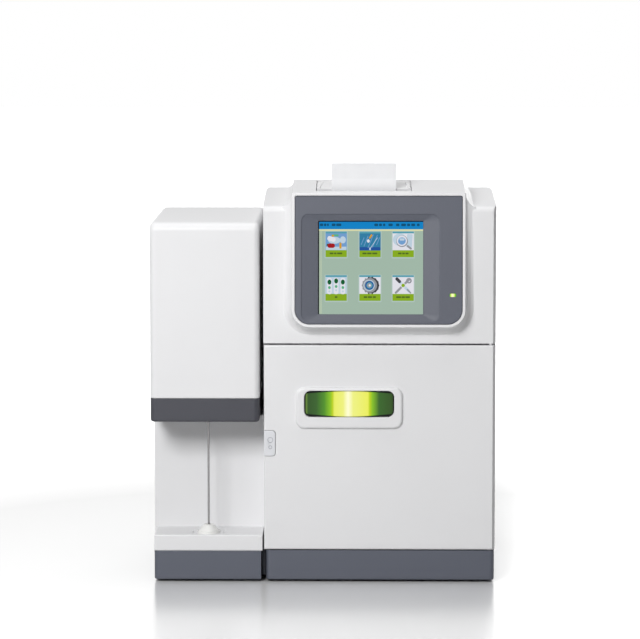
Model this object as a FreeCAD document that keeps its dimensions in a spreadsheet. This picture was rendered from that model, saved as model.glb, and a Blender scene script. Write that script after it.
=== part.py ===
import FreeCAD, Part
import Sketcher
import math
import os
import re
from FreeCAD import Placement, Rotation, Vector

# Benchtop electrolyte analyzer: a main body with display, printer and service door,
# and a sampling module with a lifting needle on its left.
# Millimetres, +Z up, the front faces -Y, origin at the centre of the footprint on the floor.

doc = FreeCAD.newDocument("electrolyte_analyzer")
dims = doc.addObject("Spreadsheet::Sheet", "dims")
places = doc.addObject("Spreadsheet::Sheet", "places")
rows = {"dims": 0, "places": 0}
known = {}
pieces = []


def entry(sheet, alias, content):
    """one named line of a sheet: the name in column A, the value in column B"""
    rows[sheet.Name] += 1
    row = rows[sheet.Name]
    sheet.set("A%d" % row, alias)
    sheet.set("B%d" % row, content)
    sheet.setAlias("B%d" % row, alias)
    known[alias] = sheet.Name + "." + alias


def place(alias, formula):
    """a position that follows from the driving dimensions"""
    entry(places, alias, "=" + full(formula).replace("places.", ""))


def full(formula):
    """a formula in plain words, with each word led back to its sheet"""
    return re.sub("[a-z_]+", lambda word: known.get(word.group(), word.group()), formula)


def value(formula):
    """the number that a formula gives now"""
    return float(dims.evalExpression(full(formula)))


# Driving dimensions
SIZES = {
    # Overall sizes
    "main_width": 208.5,
    "main_depth": 240,
    "sampler_width": 98,
    "sampler_depth": 175,
    "side_gap": 3.5,
    "foot_height": 2,
    "foot_radius": 8,
    "foot_inset": 20,
    "base_height": 27,
    "base_setback": 0.8,
    "base_side_setback": 0.5,
    "casing_wall": 3,
    "casing_front_setback": 15,
    # Front door
    "door_height": 185.5,
    "door_depth": 13,
    "door_gap": 0.8,
    "seam_gap": 1.5,
    "edge_round": 1.5,
    "corner_bevel": 2.5,
    "corner_bevel_depth": 5,
    "hinge_offset": 5,
    "hinge_depth": 4.5,
    "hinge_pin_radius": 1.5,
    "hinge_pin_length": 12,
    "running_clearance": 0.05,
    "seat_clearance": 0.3,
    # Upper shell
    "shell_front_height": 123.2,
    "crest_depth": 104,
    "crest_rise": 12,
    "rear_drop": 10,
    "crease_round": 6,
    # Display housing
    "housing_offset": 28.6,
    "bezel_width": 149.3,
    "bezel_height": 114.4,
    "bezel_level": 18.6,
    "bezel_thickness": 2.5,
    "bezel_corner": 13,
    "bezel_top_corner": 1.5,
    "display_tilt": 5,
    "lip_proud": 14,
    "rim": 2.7,
    "flare": 9,
    "skirt_overrun": 12,
    "crown_depth": 60,
    "crown_rise": 9,
    "crown_rear_drop": 9,
    "screen_width": 93.6,
    "screen_height": 83.3,
    "screen_left": 20.7,
    "screen_low": 9,
    "recess_left": 5.7,
    "recess_right": 20.5,
    "recess_low": 2.6,
    "recess_top": 16.2,
    "recess_corner": 6.5,
    "lcd_thickness": 5,
    "touch_thickness": 1.2,
    # Door window
    "window_offset": 36.5,
    "window_width": 81,
    "window_level": 120.6,
    "window_height": 24,
    "window_corner": 6,
    "frame_side": 7.6,
    "frame_low": 10.5,
    "frame_top": 2.8,
    "frame_proud": 3,
    "lens_crown": 2.4,
    "lens_end_gap": 2.3,
    "lens_side_gap": 1.2,
    # Latch key on the left edge of the door
    "key_width": 10.6,
    "key_height": 23,
    "key_level": 85,
    "key_proud": 0.6,
    "key_depth": 6,
    "key_travel": 2.2,
    # Service compartment
    "compartment_depth": 32,
    "compartment_wall": 2.5,
    "pack_width": 90,
    "pack_height": 94,
    "pack_depth": 124,
    "pack_clearance": 1.2,
    "pack_headroom": 9,
    "electrode_width": 14,
    "electrode_height": 22,
    "electrode_depth": 18,
    "electrode_gap": 0.6,
    "flow_bore_radius": 0.8,
    "holder_depth": 8,
    # Peristaltic pump
    "pump_offset": 165.5,
    "pump_level": 60,
    "track_radius": 21,
    "tube_radius": 2,
    "tube_seat_clearance": 0.1,
    "roller_radius": 4,
    "roller_length": 10,
    "roller_pin_radius": 1.2,
    "roller_squeeze_gap": 0.4,
    "rotor_plate": 2,
    "rotor_radius": 15,
    "pump_shaft_radius": 3,
    "pump_motor_radius": 18,
    "pump_motor_length": 34,
    "pump_body_depth": 20,
    # Printer
    "printer_offset": 90,
    "printer_width": 85,
    "printer_setback": 5,
    "printer_length": 53,
    "printer_depth": 46,
    "paper_width": 58,
    "roll_radius": 16,
    "paper_thickness": 0.25,
    "paper_proud": 24,
    "lid_thickness": 2.2,
    "lid_ear_notch": 2.4,
    "tear_bar_drop": 0.4,
    "tear_tooth": 1.2,
    "platen_radius": 4,
    "platen_shaft_radius": 1.5,
    # Sampling module
    "head_level": 144.3,
    "head_overhang": 6,
    "trim_height": 21.3,
    "head_front_height": 158.4,
    "head_rise": 4,
    "head_round": 8,
    "tray_height": 14.7,
    "tray_side_setback": 2.5,
    "recess_depth": 47,
    "cup_radius": 10.5,
    "cup_height": 8,
    "needle_radius": 0.9,
    "needle_bore_radius": 0.4,
    "needle_setback": 13,
    "needle_level": 45.2,
    "needle_travel": 95,
    "rod_radius": 4,
    "rod_spacing": 40,
    "rod_setback": 42,
    "screw_radius": 3.5,
    "carriage_height": 22,
    "motor_size": 35,
    "motor_height": 26,
    # Rear fittings
    "rear_panel_width": 150,
    "rear_panel_height": 120,
    "rear_panel_level": 58,
    "rear_panel_thickness": 1.5,
    "rear_panel_margin": 7,
    "fan_size": 60,
    "fan_depth": 15,
    "fan_hub_radius": 13,
    "blade_chord": 9,
    "blade_thickness": 1.4,
    "blade_tip_gap": 1,
    "grille_radius": 26,
    "grille_pitch": 7,
    "grille_slot": 4,
    "screw_head_radius": 3,
    "screw_shank_radius": 1.5,
}
for alias, number in SIZES.items():
    entry(dims, alias, str(number))
doc.recompute()

# Positions that follow from the sizes
place("right", "(main_width + side_gap + sampler_width) / 2")
place("left", "right - main_width")
place("sampler_right", "left - side_gap")
place("sampler_left", "sampler_right - sampler_width")
place("front", "(lip_proud + rim * sin(display_tilt) - main_depth) / 2")
place("rear", "front + main_depth")
place("base_low", "foot_height")
place("base_top", "base_low + base_height")
place("door_low", "base_top + door_gap")
place("door_top", "door_low + door_height")
place("seam", "door_top + seam_gap")
place("crease", "seam + shell_front_height")
place("crest", "crease + crest_rise")
place("rear_top", "crest - rear_drop")
place("casing_front", "front + casing_front_setback")
place("hinge_x", "right - hinge_offset")
place("hinge_y", "front + hinge_depth")
place("bezel_left", "left + housing_offset")
place("bezel_right", "bezel_left + bezel_width")
place("bezel_low", "seam + bezel_level")
place("bezel_front", "front - lip_proud")
place("crown", "crest + crown_rise")
place("window_left", "left + window_offset")
place("window_low", "door_low + window_level")
place("key_low", "door_low + key_level")
place("head_low", "foot_height + head_level")
place("trim_top", "head_low + trim_height")
place("head_front_top", "trim_top + head_front_height")
place("head_front", "front - head_overhang")
place("sampler_rear", "front + sampler_depth")
place("sampler_top", "base_low + 26.3")
place("tray_top", "base_low + 26.3 + tray_height")
place("needle_x", "sampler_left + 51.2")


# Drawing helpers

TURN = {"X": Rotation(Vector(0, 1, 0), 90), "Y": Rotation(Vector(1, 0, 0), -90), "Z": Rotation()}
ACROSS = {"X": "yz", "Y": "xz", "Z": "xy"}


def near(one, other):
    """equal to within a fiftieth of a millimetre"""
    return math.isclose(one, other, abs_tol=0.02)


def body(label):
    """a moulded, turned or milled piece, made from features in its own frame"""
    made = doc.addObject("PartDesign::Body", label)
    made.Label = label
    return made


def piece(made, label=None):
    """mark a finished object as one of the analyzer's sub-parts"""
    made.Label = label or made.Label
    pieces.append(made)
    return made


def box(owner, name, x, y, z, kind="Additive"):
    """a block of a body between pairs of positions"""
    block = owner.newObject("PartDesign::%sBox" % kind, name)
    for side, (low, high) in zip(("Length", "Width", "Height"), (x, y, z)):
        block.setExpression(side, full("(%s) - (%s)" % (high, low)))
    for axis, (low, high) in zip("xyz", (x, y, z)):
        block.setExpression("Placement.Base.%s" % axis, full(low))
    doc.recompute()
    return block


def cut_box(owner, name, x, y, z):
    return box(owner, name, x, y, z, "Subtractive")


def rod(owner, name, axis, centre, span, radius, kind="Additive"):
    """a cylinder of a body along one axis; centre gives its other two coordinates in X, Y, Z order"""
    bar = owner.newObject("PartDesign::%sCylinder" % kind, name)
    bar.Placement = Placement(Vector(), TURN[axis])
    bar.setExpression("Radius", full(radius))
    bar.setExpression("Height", full("(%s) - (%s)" % (span[1], span[0])))
    for letter, where in zip(ACROSS[axis], centre):
        bar.setExpression("Placement.Base.%s" % letter, full(where))
    bar.setExpression("Placement.Base.%s" % axis.lower(), full(span[0]))
    doc.recompute()
    return bar


def bore(owner, name, axis, centre, span, radius):
    return rod(owner, name, axis, centre, span, radius, "Subtractive")


def outline(owner, name, plane, corners, level):
    """a sketch of straight edges on an origin plane, every corner held by two formulas"""
    sketch = owner.newObject("Sketcher::SketchObject", name)
    base = [face for face in owner.Origin.OriginFeatures if face.Role == plane + "_Plane"][0]
    sketch.AttachmentSupport = [(base, "")]
    sketch.MapMode = "FlatFace"
    sketch.setExpression("AttachmentOffset.Base.z", full(level))
    points = [Vector(value(across), value(up), 0) for across, up in corners]
    count = len(points)
    for number in range(count):
        sketch.addGeometry(Part.LineSegment(points[number], points[(number + 1) % count]), False)
    for number in range(count):
        sketch.addConstraint(Sketcher.Constraint("Coincident", number, 2, (number + 1) % count, 1))
    for number, (across, up) in enumerate(corners):
        for kind, held, formula in (("DistanceX", points[number].x, across),
                                    ("DistanceY", points[number].y, up)):
            rule = sketch.addConstraint(Sketcher.Constraint(kind, -1, 1, number, 1, held))
            sketch.setExpression("Constraints[%d]" % rule, full(formula))
    return sketch


def pad(owner, name, plane, corners, span):
    """extrude an outline between two positions along the plane's normal"""
    low, high = span
    level = "-(%s)" % high if plane == "XZ" else low
    sketch = outline(owner, name + "_sketch", plane, corners, level)
    made = owner.newObject("PartDesign::Pad", name)
    made.Profile = sketch
    made.setExpression("Length", full("(%s) - (%s)" % (high, low)))
    doc.recompute()
    return made


def pocket(owner, name, plane, corners, span):
    """cut an outline out between two positions along the plane's normal"""
    low, high = span
    level = "-(%s)" % low if plane == "XZ" else high
    sketch = outline(owner, name + "_sketch", plane, corners, level)
    before = owner.Tip.Shape.Volume
    made = owner.newObject("PartDesign::Pocket", name)
    made.Profile = sketch
    made.setExpression("Length", full("(%s) - (%s)" % (high, low)))
    doc.recompute()
    assert made.Shape.Volume < before, name + " cuts nothing"
    return made


def along(axis, **at):
    """choose straight edges along an axis whose middle lies at the given formulas"""
    wanted = {letter: value(formula) for letter, formula in at.items()}
    heading = {"X": Vector(1, 0, 0), "Y": Vector(0, 1, 0), "Z": Vector(0, 0, 1)}[axis]

    def test(edge):
        if not isinstance(edge.Curve, Part.Line) or abs(abs(edge.Curve.Direction * heading) - 1) > 1e-6:
            return False
        middle = edge.BoundBox.Center
        return all(near(getattr(middle, letter), number) for letter, number in wanted.items())
    return test


def rim_of(axis, level):
    """choose every edge that lies wholly at one level along an axis"""
    number = value(level)
    low, high = axis.upper() + "Min", axis.upper() + "Max"

    def test(edge):
        return near(getattr(edge.BoundBox, low), number) and near(getattr(edge.BoundBox, high), number)
    return test


def soften(owner, name, radius, *tests, kind="Fillet"):
    """round (or bevel) the edges of a body that pass one of the tests"""
    base = owner.Tip
    names = ["Edge%d" % (number + 1) for number, edge in enumerate(base.Shape.Edges)
             if any(test(edge) for test in tests)]
    assert names, name + " finds no edge"
    made = owner.newObject("PartDesign::" + kind, name)
    made.Base = (base, names)
    made.setExpression("Radius" if kind == "Fillet" else "Size", full(radius))
    doc.recompute()
    return made


def stand(made, frame):
    """place an object that was made in the tilted frame of the display or of the printer"""
    base, angle = FRAMES[frame]
    made.Placement = Placement(Vector(), Rotation(Vector(1, 0, 0), value(angle)))
    made.setExpression(".Placement.Rotation.Angle", full(angle))
    for axis, where in zip("xyz", base):
        made.setExpression(".Placement.Base.%s" % axis, full(where))
    doc.recompute()
    return made


def join(name, kind, *parts):
    """a boolean of whole objects: Fuse, Cut (the first less the others) or Common"""
    if len(parts) == 2 and kind != "Fuse":
        made = doc.addObject("Part::" + kind, name)
        made.Base, made.Tool = parts
    elif kind == "Cut":
        made = doc.addObject("Part::Cut", name)
        made.Base, made.Tool = parts[0], join(name + "_tools", "Fuse", *parts[1:])
    else:
        made = doc.addObject("Part::Multi" + kind, name)
        made.Shapes = list(parts)
    made.Label = name
    doc.recompute()
    return made


def wire_object(name, wire):
    """a section curve kept in the document for a loft"""
    made = doc.addObject("Part::Feature", name)
    made.Shape = wire
    return made


def loft(name, wires):
    made = doc.addObject("Part::Loft", name)
    made.Sections = [wire_object("%s_section_%d" % (name, number + 1), wire)
                     for number, wire in enumerate(wires)]
    made.Solid = True
    made.Ruled = True
    doc.recompute()
    return made


def rounded_wire(low, high, radii, to_world):
    """a rectangle with its own radius at each corner (low left, low right, top right, top left)"""
    (x0, z0), (x1, z1) = low, high
    corners = [(x0, z0, 1, 1), (x1, z0, -1, 1), (x1, z1, -1, -1), (x0, z1, 1, -1)]
    entries = []
    for number, ((x, z, right, up), radius) in enumerate(zip(corners, radii)):
        beside = (x + right * radius, z)
        above = (x, z + up * radius)
        middle = (x + right * radius * (1 - math.sqrt(0.5)), z + up * radius * (1 - math.sqrt(0.5)))
        entries.append((above, middle, beside) if number % 2 == 0 else (beside, middle, above))
    edges = []
    for number, arc in enumerate(entries):
        edges.append(Part.Arc(*[to_world(*point) for point in arc]).toShape())
        after = entries[(number + 1) % 4][0]
        edges.append(Part.LineSegment(to_world(*arc[2]), to_world(*after)).toShape())
    return Part.Wire(Part.__sortEdges__(edges))


# Base pan of the main body, the dark band at the foot

pan = body("base_pan")
PAN_X = ("left + 2", "right - base_side_setback")
PAN_Y = ("front + base_setback", "rear - base_setback")
box(pan, "block", PAN_X, PAN_Y, ("base_low", "base_top"))
soften(pan, "upright_rounds", "4", along("Z", z="(base_low + base_top) / 2"))
soften(pan, "foot_round", "edge_round", rim_of("z", "base_low"))
cut_box(pan, "hollow", ("left + 2 + casing_wall", "right - base_side_setback - casing_wall"),
        ("front + base_setback + casing_wall", "rear - base_setback - casing_wall"),
        ("base_low + casing_wall", "base_top + 1"))
box(pan, "hinge_boss", ("hinge_x - 4", "right - base_side_setback - 1"),
    ("front + base_setback + 1", "hinge_y + 4"),
    ("base_low + 1", "base_top"))
bore(pan, "hinge_bore", "Z", ("hinge_x", "hinge_y"), ("base_top - hinge_pin_length / 2", "base_top + 1"),
     "hinge_pin_radius")
FEET = {"main": [("left + 2 + foot_inset", "front + foot_inset"),
                 ("right - foot_inset", "front + foot_inset"),
                 ("left + 2 + foot_inset", "rear - foot_inset"),
                 ("right - foot_inset", "rear - foot_inset")],
        "sampler": [("sampler_left + foot_inset", "front + foot_inset"),
                    ("sampler_left + foot_inset", "sampler_rear - foot_inset")]}
for number, spot in enumerate(FEET["main"]):
    bore(pan, "foot_seat_%d" % number, "Z", spot, ("base_low - 1", "base_low + 1"),
         "foot_radius + seat_clearance")
piece(pan)

feet = []
for number, spot in enumerate(FEET["main"] + FEET["sampler"]):
    foot = body("foot_%d" % (number + 1))
    rod(foot, "pad", "Z", spot, ("0", "base_low + 1"), "foot_radius")
    soften(foot, "edge", "0.8", rim_of("z", "0"))
    feet.append(foot)
piece(join("feet", "Fuse", *feet))


# Lower casing: the two sides and the rear wall, open at the front for the door

casing = body("lower_casing")
PANEL_MID = "((left + right) / 2)"
PANEL_X = (PANEL_MID + " - rear_panel_width / 2", PANEL_MID + " + rear_panel_width / 2")
PANEL_Z = ("base_low + rear_panel_level", "base_low + rear_panel_level + rear_panel_height")
LEDGE = "rear - 2 * casing_wall"
box(casing, "block", ("left", "right"), ("casing_front", "rear"), ("base_top", "seam - 0.4"))
soften(casing, "rear_rounds", "4", along("Z", y="rear"))
cut_box(casing, "hollow", ("left + casing_wall", "right - casing_wall"),
        ("casing_front - 1", "rear - casing_wall"),
        ("base_top - 1", "seam + 1"))
box(casing, "panel_ledge", (PANEL_X[0] + " - 1", PANEL_X[1] + " + 1"), (LEDGE, "rear - casing_wall / 2"),
    (PANEL_Z[0] + " - 1", PANEL_Z[1] + " + 1"))
cut_box(casing, "panel_opening", (PANEL_X[0] + " + rear_panel_margin", PANEL_X[1] + " - rear_panel_margin"),
        ("rear - 20", "rear + 1"), (PANEL_Z[0] + " + rear_panel_margin",
                                    PANEL_Z[1] + " - rear_panel_margin"))
PANEL_SCREWS = [(x, z) for x in (PANEL_X[0] + " + 3.5", PANEL_X[1] + " - 3.5")
                for z in (PANEL_Z[0] + " + 3.5", PANEL_Z[1] + " - 3.5")]
for number, spot in enumerate(PANEL_SCREWS):
    bore(casing, "screw_hole_%d" % number, "Y", spot, ("rear - 8", "rear + 1"), "screw_shank_radius + 0.1")
    bore(casing, "screw_sink_%d" % number, "Y", spot, ("rear - 1.8", "rear + 1"), "screw_head_radius + 0.1")
BOARD_Y = ("front + 95", "rear - 20")
BOARD_Z = ("base_top + 31", "seam - 26")
BOARD_X = ("right - casing_wall - 7.6", "right - casing_wall - 6")
for number, (y, z) in enumerate((y, z) for y in (BOARD_Y[0] + " + 6", BOARD_Y[1] + " - 6")
                                for z in (BOARD_Z[0] + " + 6", BOARD_Z[1] + " - 6")):
    rod(casing, "board_boss_%d" % number, "X", (y, z), (BOARD_X[1], "right - casing_wall / 2"), "3.5")
piece(casing)


# Upper shell: top, front, sides and the flared display housing in one moulding

FRAMES = {"display": (("bezel_left", "bezel_front", "bezel_low"), "-display_tilt"),
          "printer": (("left + printer_offset", "front + printer_setback", "printer_z"), "crown_angle")}

LEAN = math.radians(value("display_tilt"))
RIM = value("rim")
FLARE = value("flare")
OVERRUN = value("skirt_overrun")
LEFT, FRONT = value("bezel_left"), value("front")
WIDTH, HEIGHT = value("bezel_width"), value("bezel_height")


def display_point(x, y, z):
    """a point of the tilted display frame in the part's own frame"""
    return Vector(LEFT + x, value("bezel_front") + y * math.cos(LEAN) + z * math.sin(LEAN),
                  value("bezel_low") - y * math.sin(LEAN) + z * math.cos(LEAN))


place("rim_top", "bezel_low + (bezel_height + rim) * cos(display_tilt)")
place("rim_top_depth", "(bezel_height + rim) * sin(display_tilt) - lip_proud")
place("crown_slope", "(crown - rim_top) / (crown_depth - rim_top_depth)")
place("crown_angle", "atan(crown_slope) / 1 deg")
place("printer_z", "rim_top + (printer_setback - rim_top_depth) * crown_slope")
place("crown_rear", "crown - crown_rear_drop")
doc.recompute()

outer = body("shell_outer")
SHELL_SIDE = [("front", "seam"), ("front", "crease"), ("front + crest_depth", "crest"),
              ("rear", "rear_top"),
              ("rear", "seam")]
pad(outer, "side_profile", "YZ", SHELL_SIDE, ("left", "right"))
soften(outer, "crease_round", "crease_round", along("X", y="front", z="crease"),
       along("X", y="rear", z="rear_top"))
soften(outer, "upright_rounds", "4", along("Z", y="rear"))
BEVEL = [("right - corner_bevel", "front"), ("right", "front + corner_bevel_depth"),
         ("right + 1", "front + corner_bevel_depth"), ("right + 1", "front - 1"),
         ("right - corner_bevel", "front - 1")]
pocket(outer, "corner_bevel", "XY", BEVEL, ("seam - 1", "crest + 1"))


def shell_top(depth):
    """height of the shell's top surface at a depth behind the front"""
    crest_depth = value("crest_depth")
    if depth <= 0:
        return value("crease")
    if depth <= crest_depth:
        return value("crease") + value("crest_rise") * depth / crest_depth
    return value("crest") - value("rear_drop") * (depth - crest_depth) / (value("main_depth") - crest_depth)


def crown_top(depth):
    """height of the display housing's top surface at a depth behind the front"""
    crown_depth = value("crown_depth")
    if depth <= crown_depth:
        return value("crown") - (crown_depth - depth) * value("crown_slope")
    fall = value("crown_rear_drop") * (depth - crown_depth) / (value("main_depth") - crown_depth)
    return value("crown") - fall


def crown_section(depth):
    """the housing seen from the front at one depth: flat top, hollow flanks that run out on the shell"""
    y = FRONT + depth
    left, right = LEFT - RIM, LEFT + WIDTH + RIM
    top, foot, deep = crown_top(depth), shell_top(depth) - 0.8, value("seam") + 2
    rise = top - foot

    def flank(edge, out):
        return [Vector(edge + out * FLARE, y, foot),
                Vector(edge + out * FLARE * 0.3, y, foot + rise * 0.36),
                Vector(edge, y, top)]
    left_flank, right_flank = flank(left, -1), flank(right, 1)
    low_left, low_right = Vector(left - FLARE - 1, y, deep), Vector(right + FLARE + 1, y, deep)
    far_left, far_right = Vector(left - FLARE - 1, y, foot), Vector(right + FLARE + 1, y, foot)
    edges = [Part.LineSegment(low_left, far_left).toShape(),
             Part.LineSegment(far_left, left_flank[0]).toShape(),
             Part.Arc(*left_flank).toShape(), Part.LineSegment(left_flank[2], right_flank[2]).toShape(),
             Part.Arc(*reversed(right_flank)).toShape(),
             Part.LineSegment(right_flank[0], far_right).toShape(),
             Part.LineSegment(far_right, low_right).toShape(),
             Part.LineSegment(low_right, low_left).toShape()]
    return Part.Wire(edges)


crown_loft = loft("crown", [crown_section(depth) for depth in
                            (-value("lip_proud") - 6, 0, value("crown_depth"), value("crest_depth"),
                             value("main_depth"))])


def skirt_section(share, spread):
    """outline of the housing between the rim (share 0) and the shell's front wall (share 1)"""
    offset = FLARE * spread
    wall_y = FRONT + 0.8

    def to_world(x, z):
        rim_point = display_point(x, 0, z)
        return Vector(rim_point.x, rim_point.y + (wall_y - rim_point.y) * share, rim_point.z)
    low_round = value("bezel_corner") + RIM + offset
    top_round = value("bezel_top_corner") + RIM + offset
    return rounded_wire((-RIM - offset, -RIM - offset), (WIDTH + RIM + offset, HEIGHT + OVERRUN + offset),
                        (low_round, low_round, top_round, top_round), to_world)


skirt_front = loft("skirt_front", [skirt_section(share, spread) for share, spread in
                                   ((0, 0), (0.3, 0.08), (0.58, 0.26), (0.82, 0.58), (1, 1))])
skirt_back = doc.addObject("Part::Extrusion", "skirt_back")
skirt_back.Base = skirt_front.Sections[-1]
skirt_back.Dir = Vector(0, 1, 0)
skirt_back.LengthFwd = value("main_depth") - 0.8
skirt_back.Solid = True
doc.recompute()
skirt = join("skirt", "Fuse", skirt_front, skirt_back)
housing = join("housing", "Common", skirt, crown_loft)
shell_solid = join("shell_solid", "Fuse", outer, housing)

hollow = body("shell_hollow")
pad(hollow, "main_hollow", "YZ",
    [("front + casing_wall", "seam - 1"), ("front + casing_wall", "crease - casing_wall"),
     ("front + crest_depth", "crest - casing_wall"), ("rear - casing_wall", "rear_top - casing_wall"),
     ("rear - casing_wall", "seam - 1")], ("left + casing_wall", "right - casing_wall"))
pad(hollow, "crown_hollow", "YZ",
    [("front + 1", "seam + 30"), ("front + 1", "rim_top + (1 - rim_top_depth) * crown_slope - casing_wall"),
     ("front + crown_depth", "crown - casing_wall"), ("rear - casing_wall", "crown_rear - casing_wall"),
     ("rear - casing_wall", "seam + 30")], ("bezel_left + 1", "bezel_right - 1"))

opening = body("display_opening")
LEDGE_DEPTH = "0.6 + bezel_thickness + 1"
box(opening, "bezel_seat", ("-seat_clearance", "bezel_width + seat_clearance"), ("-20", LEDGE_DEPTH),
    ("-seat_clearance", "bezel_height + seat_clearance"))
soften(opening, "seat_low_rounds", "bezel_corner + seat_clearance", along("Y", z="-seat_clearance"))
soften(opening, "seat_top_rounds", "bezel_top_corner + seat_clearance",
       along("Y", z="bezel_height + seat_clearance"))
box(opening, "stack_opening", ("5", "bezel_width - 5"), ("0", "30"), ("5", "bezel_height - 5"))
box(opening, "housing_hollow", ("2", "bezel_width - 2"), (LEDGE_DEPTH + " + casing_wall", "24"),
    ("2", "bezel_height - 6"))
stand(opening, "display")

LID_SLOT = ("-printer_width / 2 - seat_clearance", "printer_width / 2 + seat_clearance")
bay = body("printer_opening")
box(bay, "opening", LID_SLOT, ("0", "printer_length"), ("-printer_depth", "20"))
stand(bay, "printer")

vents = body("vent_slots")
for number in range(12):
    box(vents, "slot_%d" % number, ("left + 26 + 13.5 * %d" % number, "left + 30 + 13.5 * %d" % number),
        ("rear - 10", "rear + 10"), ("seam + 22", "seam + 62"))
soften(vents, "slot_ends", "1.9", along("Y"))

shell = join("shell_moulding", "Cut", shell_solid, hollow, opening, bay, vents)
lug = body("hinge_lug")
box(lug, "lug", ("hinge_x - 4.5", "right - 1"), ("front + 1", "hinge_y + 4.5"), ("seam", "seam + 9"))
box(lug, "web", ("right - 6", "right - 1"), ("hinge_y", "hinge_y + 20"), ("seam", "seam + 9"))
pocket(lug, "lug_bevel", "XY", [("right - corner_bevel - 1", "front"),
                                ("right - 1", "front + corner_bevel_depth"),
                               ("right + 1", "front + corner_bevel_depth"), ("right + 1", "front - 1"),
                               ("right - corner_bevel - 1", "front - 1")], ("seam - 1", "seam + 10"))
lug_bore = body("hinge_lug_bore")
rod(lug_bore, "bore", "Z", ("hinge_x", "hinge_y"), ("seam - 1", "seam + hinge_pin_length / 2"),
    "hinge_pin_radius")
shell = join("shell_with_lug", "Fuse", shell, lug)
piece(join("upper_shell", "Cut", shell, lug_bore))

pins = []
for name, low, high in (("hinge_pin_low", "base_top - hinge_pin_length / 2",
                         "base_top + hinge_pin_length / 2"),
                        ("hinge_pin_high", "seam - hinge_pin_length / 2", "seam + hinge_pin_length / 2")):
    pin = body(name)
    rod(pin, "pin", "Z", ("hinge_x", "hinge_y"), (low, high), "hinge_pin_radius")
    pins.append(pin)
piece(join("hinge_pins", "Fuse", *pins))


# Display stack, made in the tilted frame: bezel, touch panel, LCD, its board and the status lamp lens

bezel = body("bezel_plate")
BEZEL_Y = ("0.6", LEDGE_DEPTH)
box(bezel, "plate", ("0", "bezel_width"), BEZEL_Y, ("0", "bezel_height"))
soften(bezel, "low_rounds", "bezel_corner", along("Y", z="0"))
soften(bezel, "top_rounds", "bezel_top_corner", along("Y", z="bezel_height"))
soften(bezel, "front_edge", "0.5", rim_of("y", "0.6"))
SCREEN_X = ("screen_left", "screen_left + screen_width")
SCREEN_Z = ("screen_low", "screen_low + screen_height")
cut_box(bezel, "screen_opening", SCREEN_X, ("0", "20"), SCREEN_Z)
LED_X = "bezel_width - 8.4"
LED_Z = "26"
cut_box(bezel, "lamp_hole", (LED_X + " - 3", LED_X + " + 3"), ("0", "20"),
        (LED_Z + " - 1.5", LED_Z + " + 1.5"))
soften(bezel, "lamp_hole_ends", "1.4", along("Y", z=LED_Z + " - 1.5"), along("Y", z=LED_Z + " + 1.5"))


def bezel_recess(depth, low, high, corner):
    """one outline of the bevelled recess round the screen"""
    return rounded_wire(low, high, (corner,) * 4, lambda x, z: Vector(x, depth, z))


OUTER_LOW = (value("recess_left"), value("recess_low"))
OUTER_HIGH = (value("bezel_width - recess_right"), value("bezel_height - recess_top"))
INNER_LOW = (value(SCREEN_X[0]) - 0.4, value(SCREEN_Z[0]) - 0.4)
INNER_HIGH = (value(SCREEN_X[1]) + 0.4, value(SCREEN_Z[1]) + 0.4)
recess = loft("bezel_recess", [bezel_recess(0, OUTER_LOW, OUTER_HIGH, value("recess_corner")),
                               bezel_recess(1.0, OUTER_LOW, OUTER_HIGH, value("recess_corner")),
                               bezel_recess(value(LEDGE_DEPTH) - 0.8, INNER_LOW, INNER_HIGH, 0.5)])
piece(stand(join("bezel", "Cut", bezel, recess), "display"))

touch = body("touch_panel")
TOUCH_Y = (LEDGE_DEPTH, LEDGE_DEPTH + " + touch_thickness")
box(touch, "glass", (SCREEN_X[0] + " - 4", SCREEN_X[1] + " + 4"), TOUCH_Y,
    (SCREEN_Z[0] + " - 4 + 1", SCREEN_Z[1] + " + 4"))
piece(stand(touch, "display"))

lcd = body("lcd_panel")
LCD_Y = (TOUCH_Y[1], TOUCH_Y[1] + " + lcd_thickness")
box(lcd, "module", (SCREEN_X[0] + " - 7", SCREEN_X[1] + " + 7"), LCD_Y,
    (SCREEN_Z[0] + " - 3", SCREEN_Z[1] + " + 6"))
soften(lcd, "corners", "1.5", along("Y"))
for number, (x, z) in enumerate((x, z) for x in (SCREEN_X[0] + " - 3", SCREEN_X[1] + " + 3")
                                for z in (SCREEN_Z[0] + " + 1", SCREEN_Z[0] + " + 50")):
    rod(lcd, "standoff_%d" % number, "Y", (x, z), (LCD_Y[0] + " + 1", LCD_Y[1] + " + 3"), "2.5")
piece(stand(lcd, "display"))

board = body("display_board")
BOARD_FACE = LCD_Y[1] + " + 3"
box(board, "laminate", (SCREEN_X[0] + " - 6", SCREEN_X[1] + " + 6"), (BOARD_FACE, BOARD_FACE + " + 1.6"),
    (SCREEN_Z[0] + " - 2", SCREEN_Z[0] + " + 54"))
box(board, "chip", ("60", "78"), (BOARD_FACE + " + 1", BOARD_FACE + " + 3.2"), ("25", "43"))
box(board, "socket", ("90", "110"), (BOARD_FACE + " + 1", BOARD_FACE + " + 7"), ("14", "20"))
piece(stand(board, "display"))

led = body("lamp_lens")
box(led, "lens", (LED_X + " - 2.9", LED_X + " + 2.9"), ("0.4", LEDGE_DEPTH + " + 0.6"),
    (LED_Z + " - 1.4", LED_Z + " + 1.4"))
soften(led, "ends", "1.3", along("Y"))
box(led, "flange", (LED_X + " - 3.6", LED_X + " + 2.9"), (LEDGE_DEPTH, LEDGE_DEPTH + " + 1"),
    (LED_Z + " - 2.5", LED_Z + " + 2.5"))
piece(stand(led, "display"))


# Front door with its raised window frame

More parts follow.
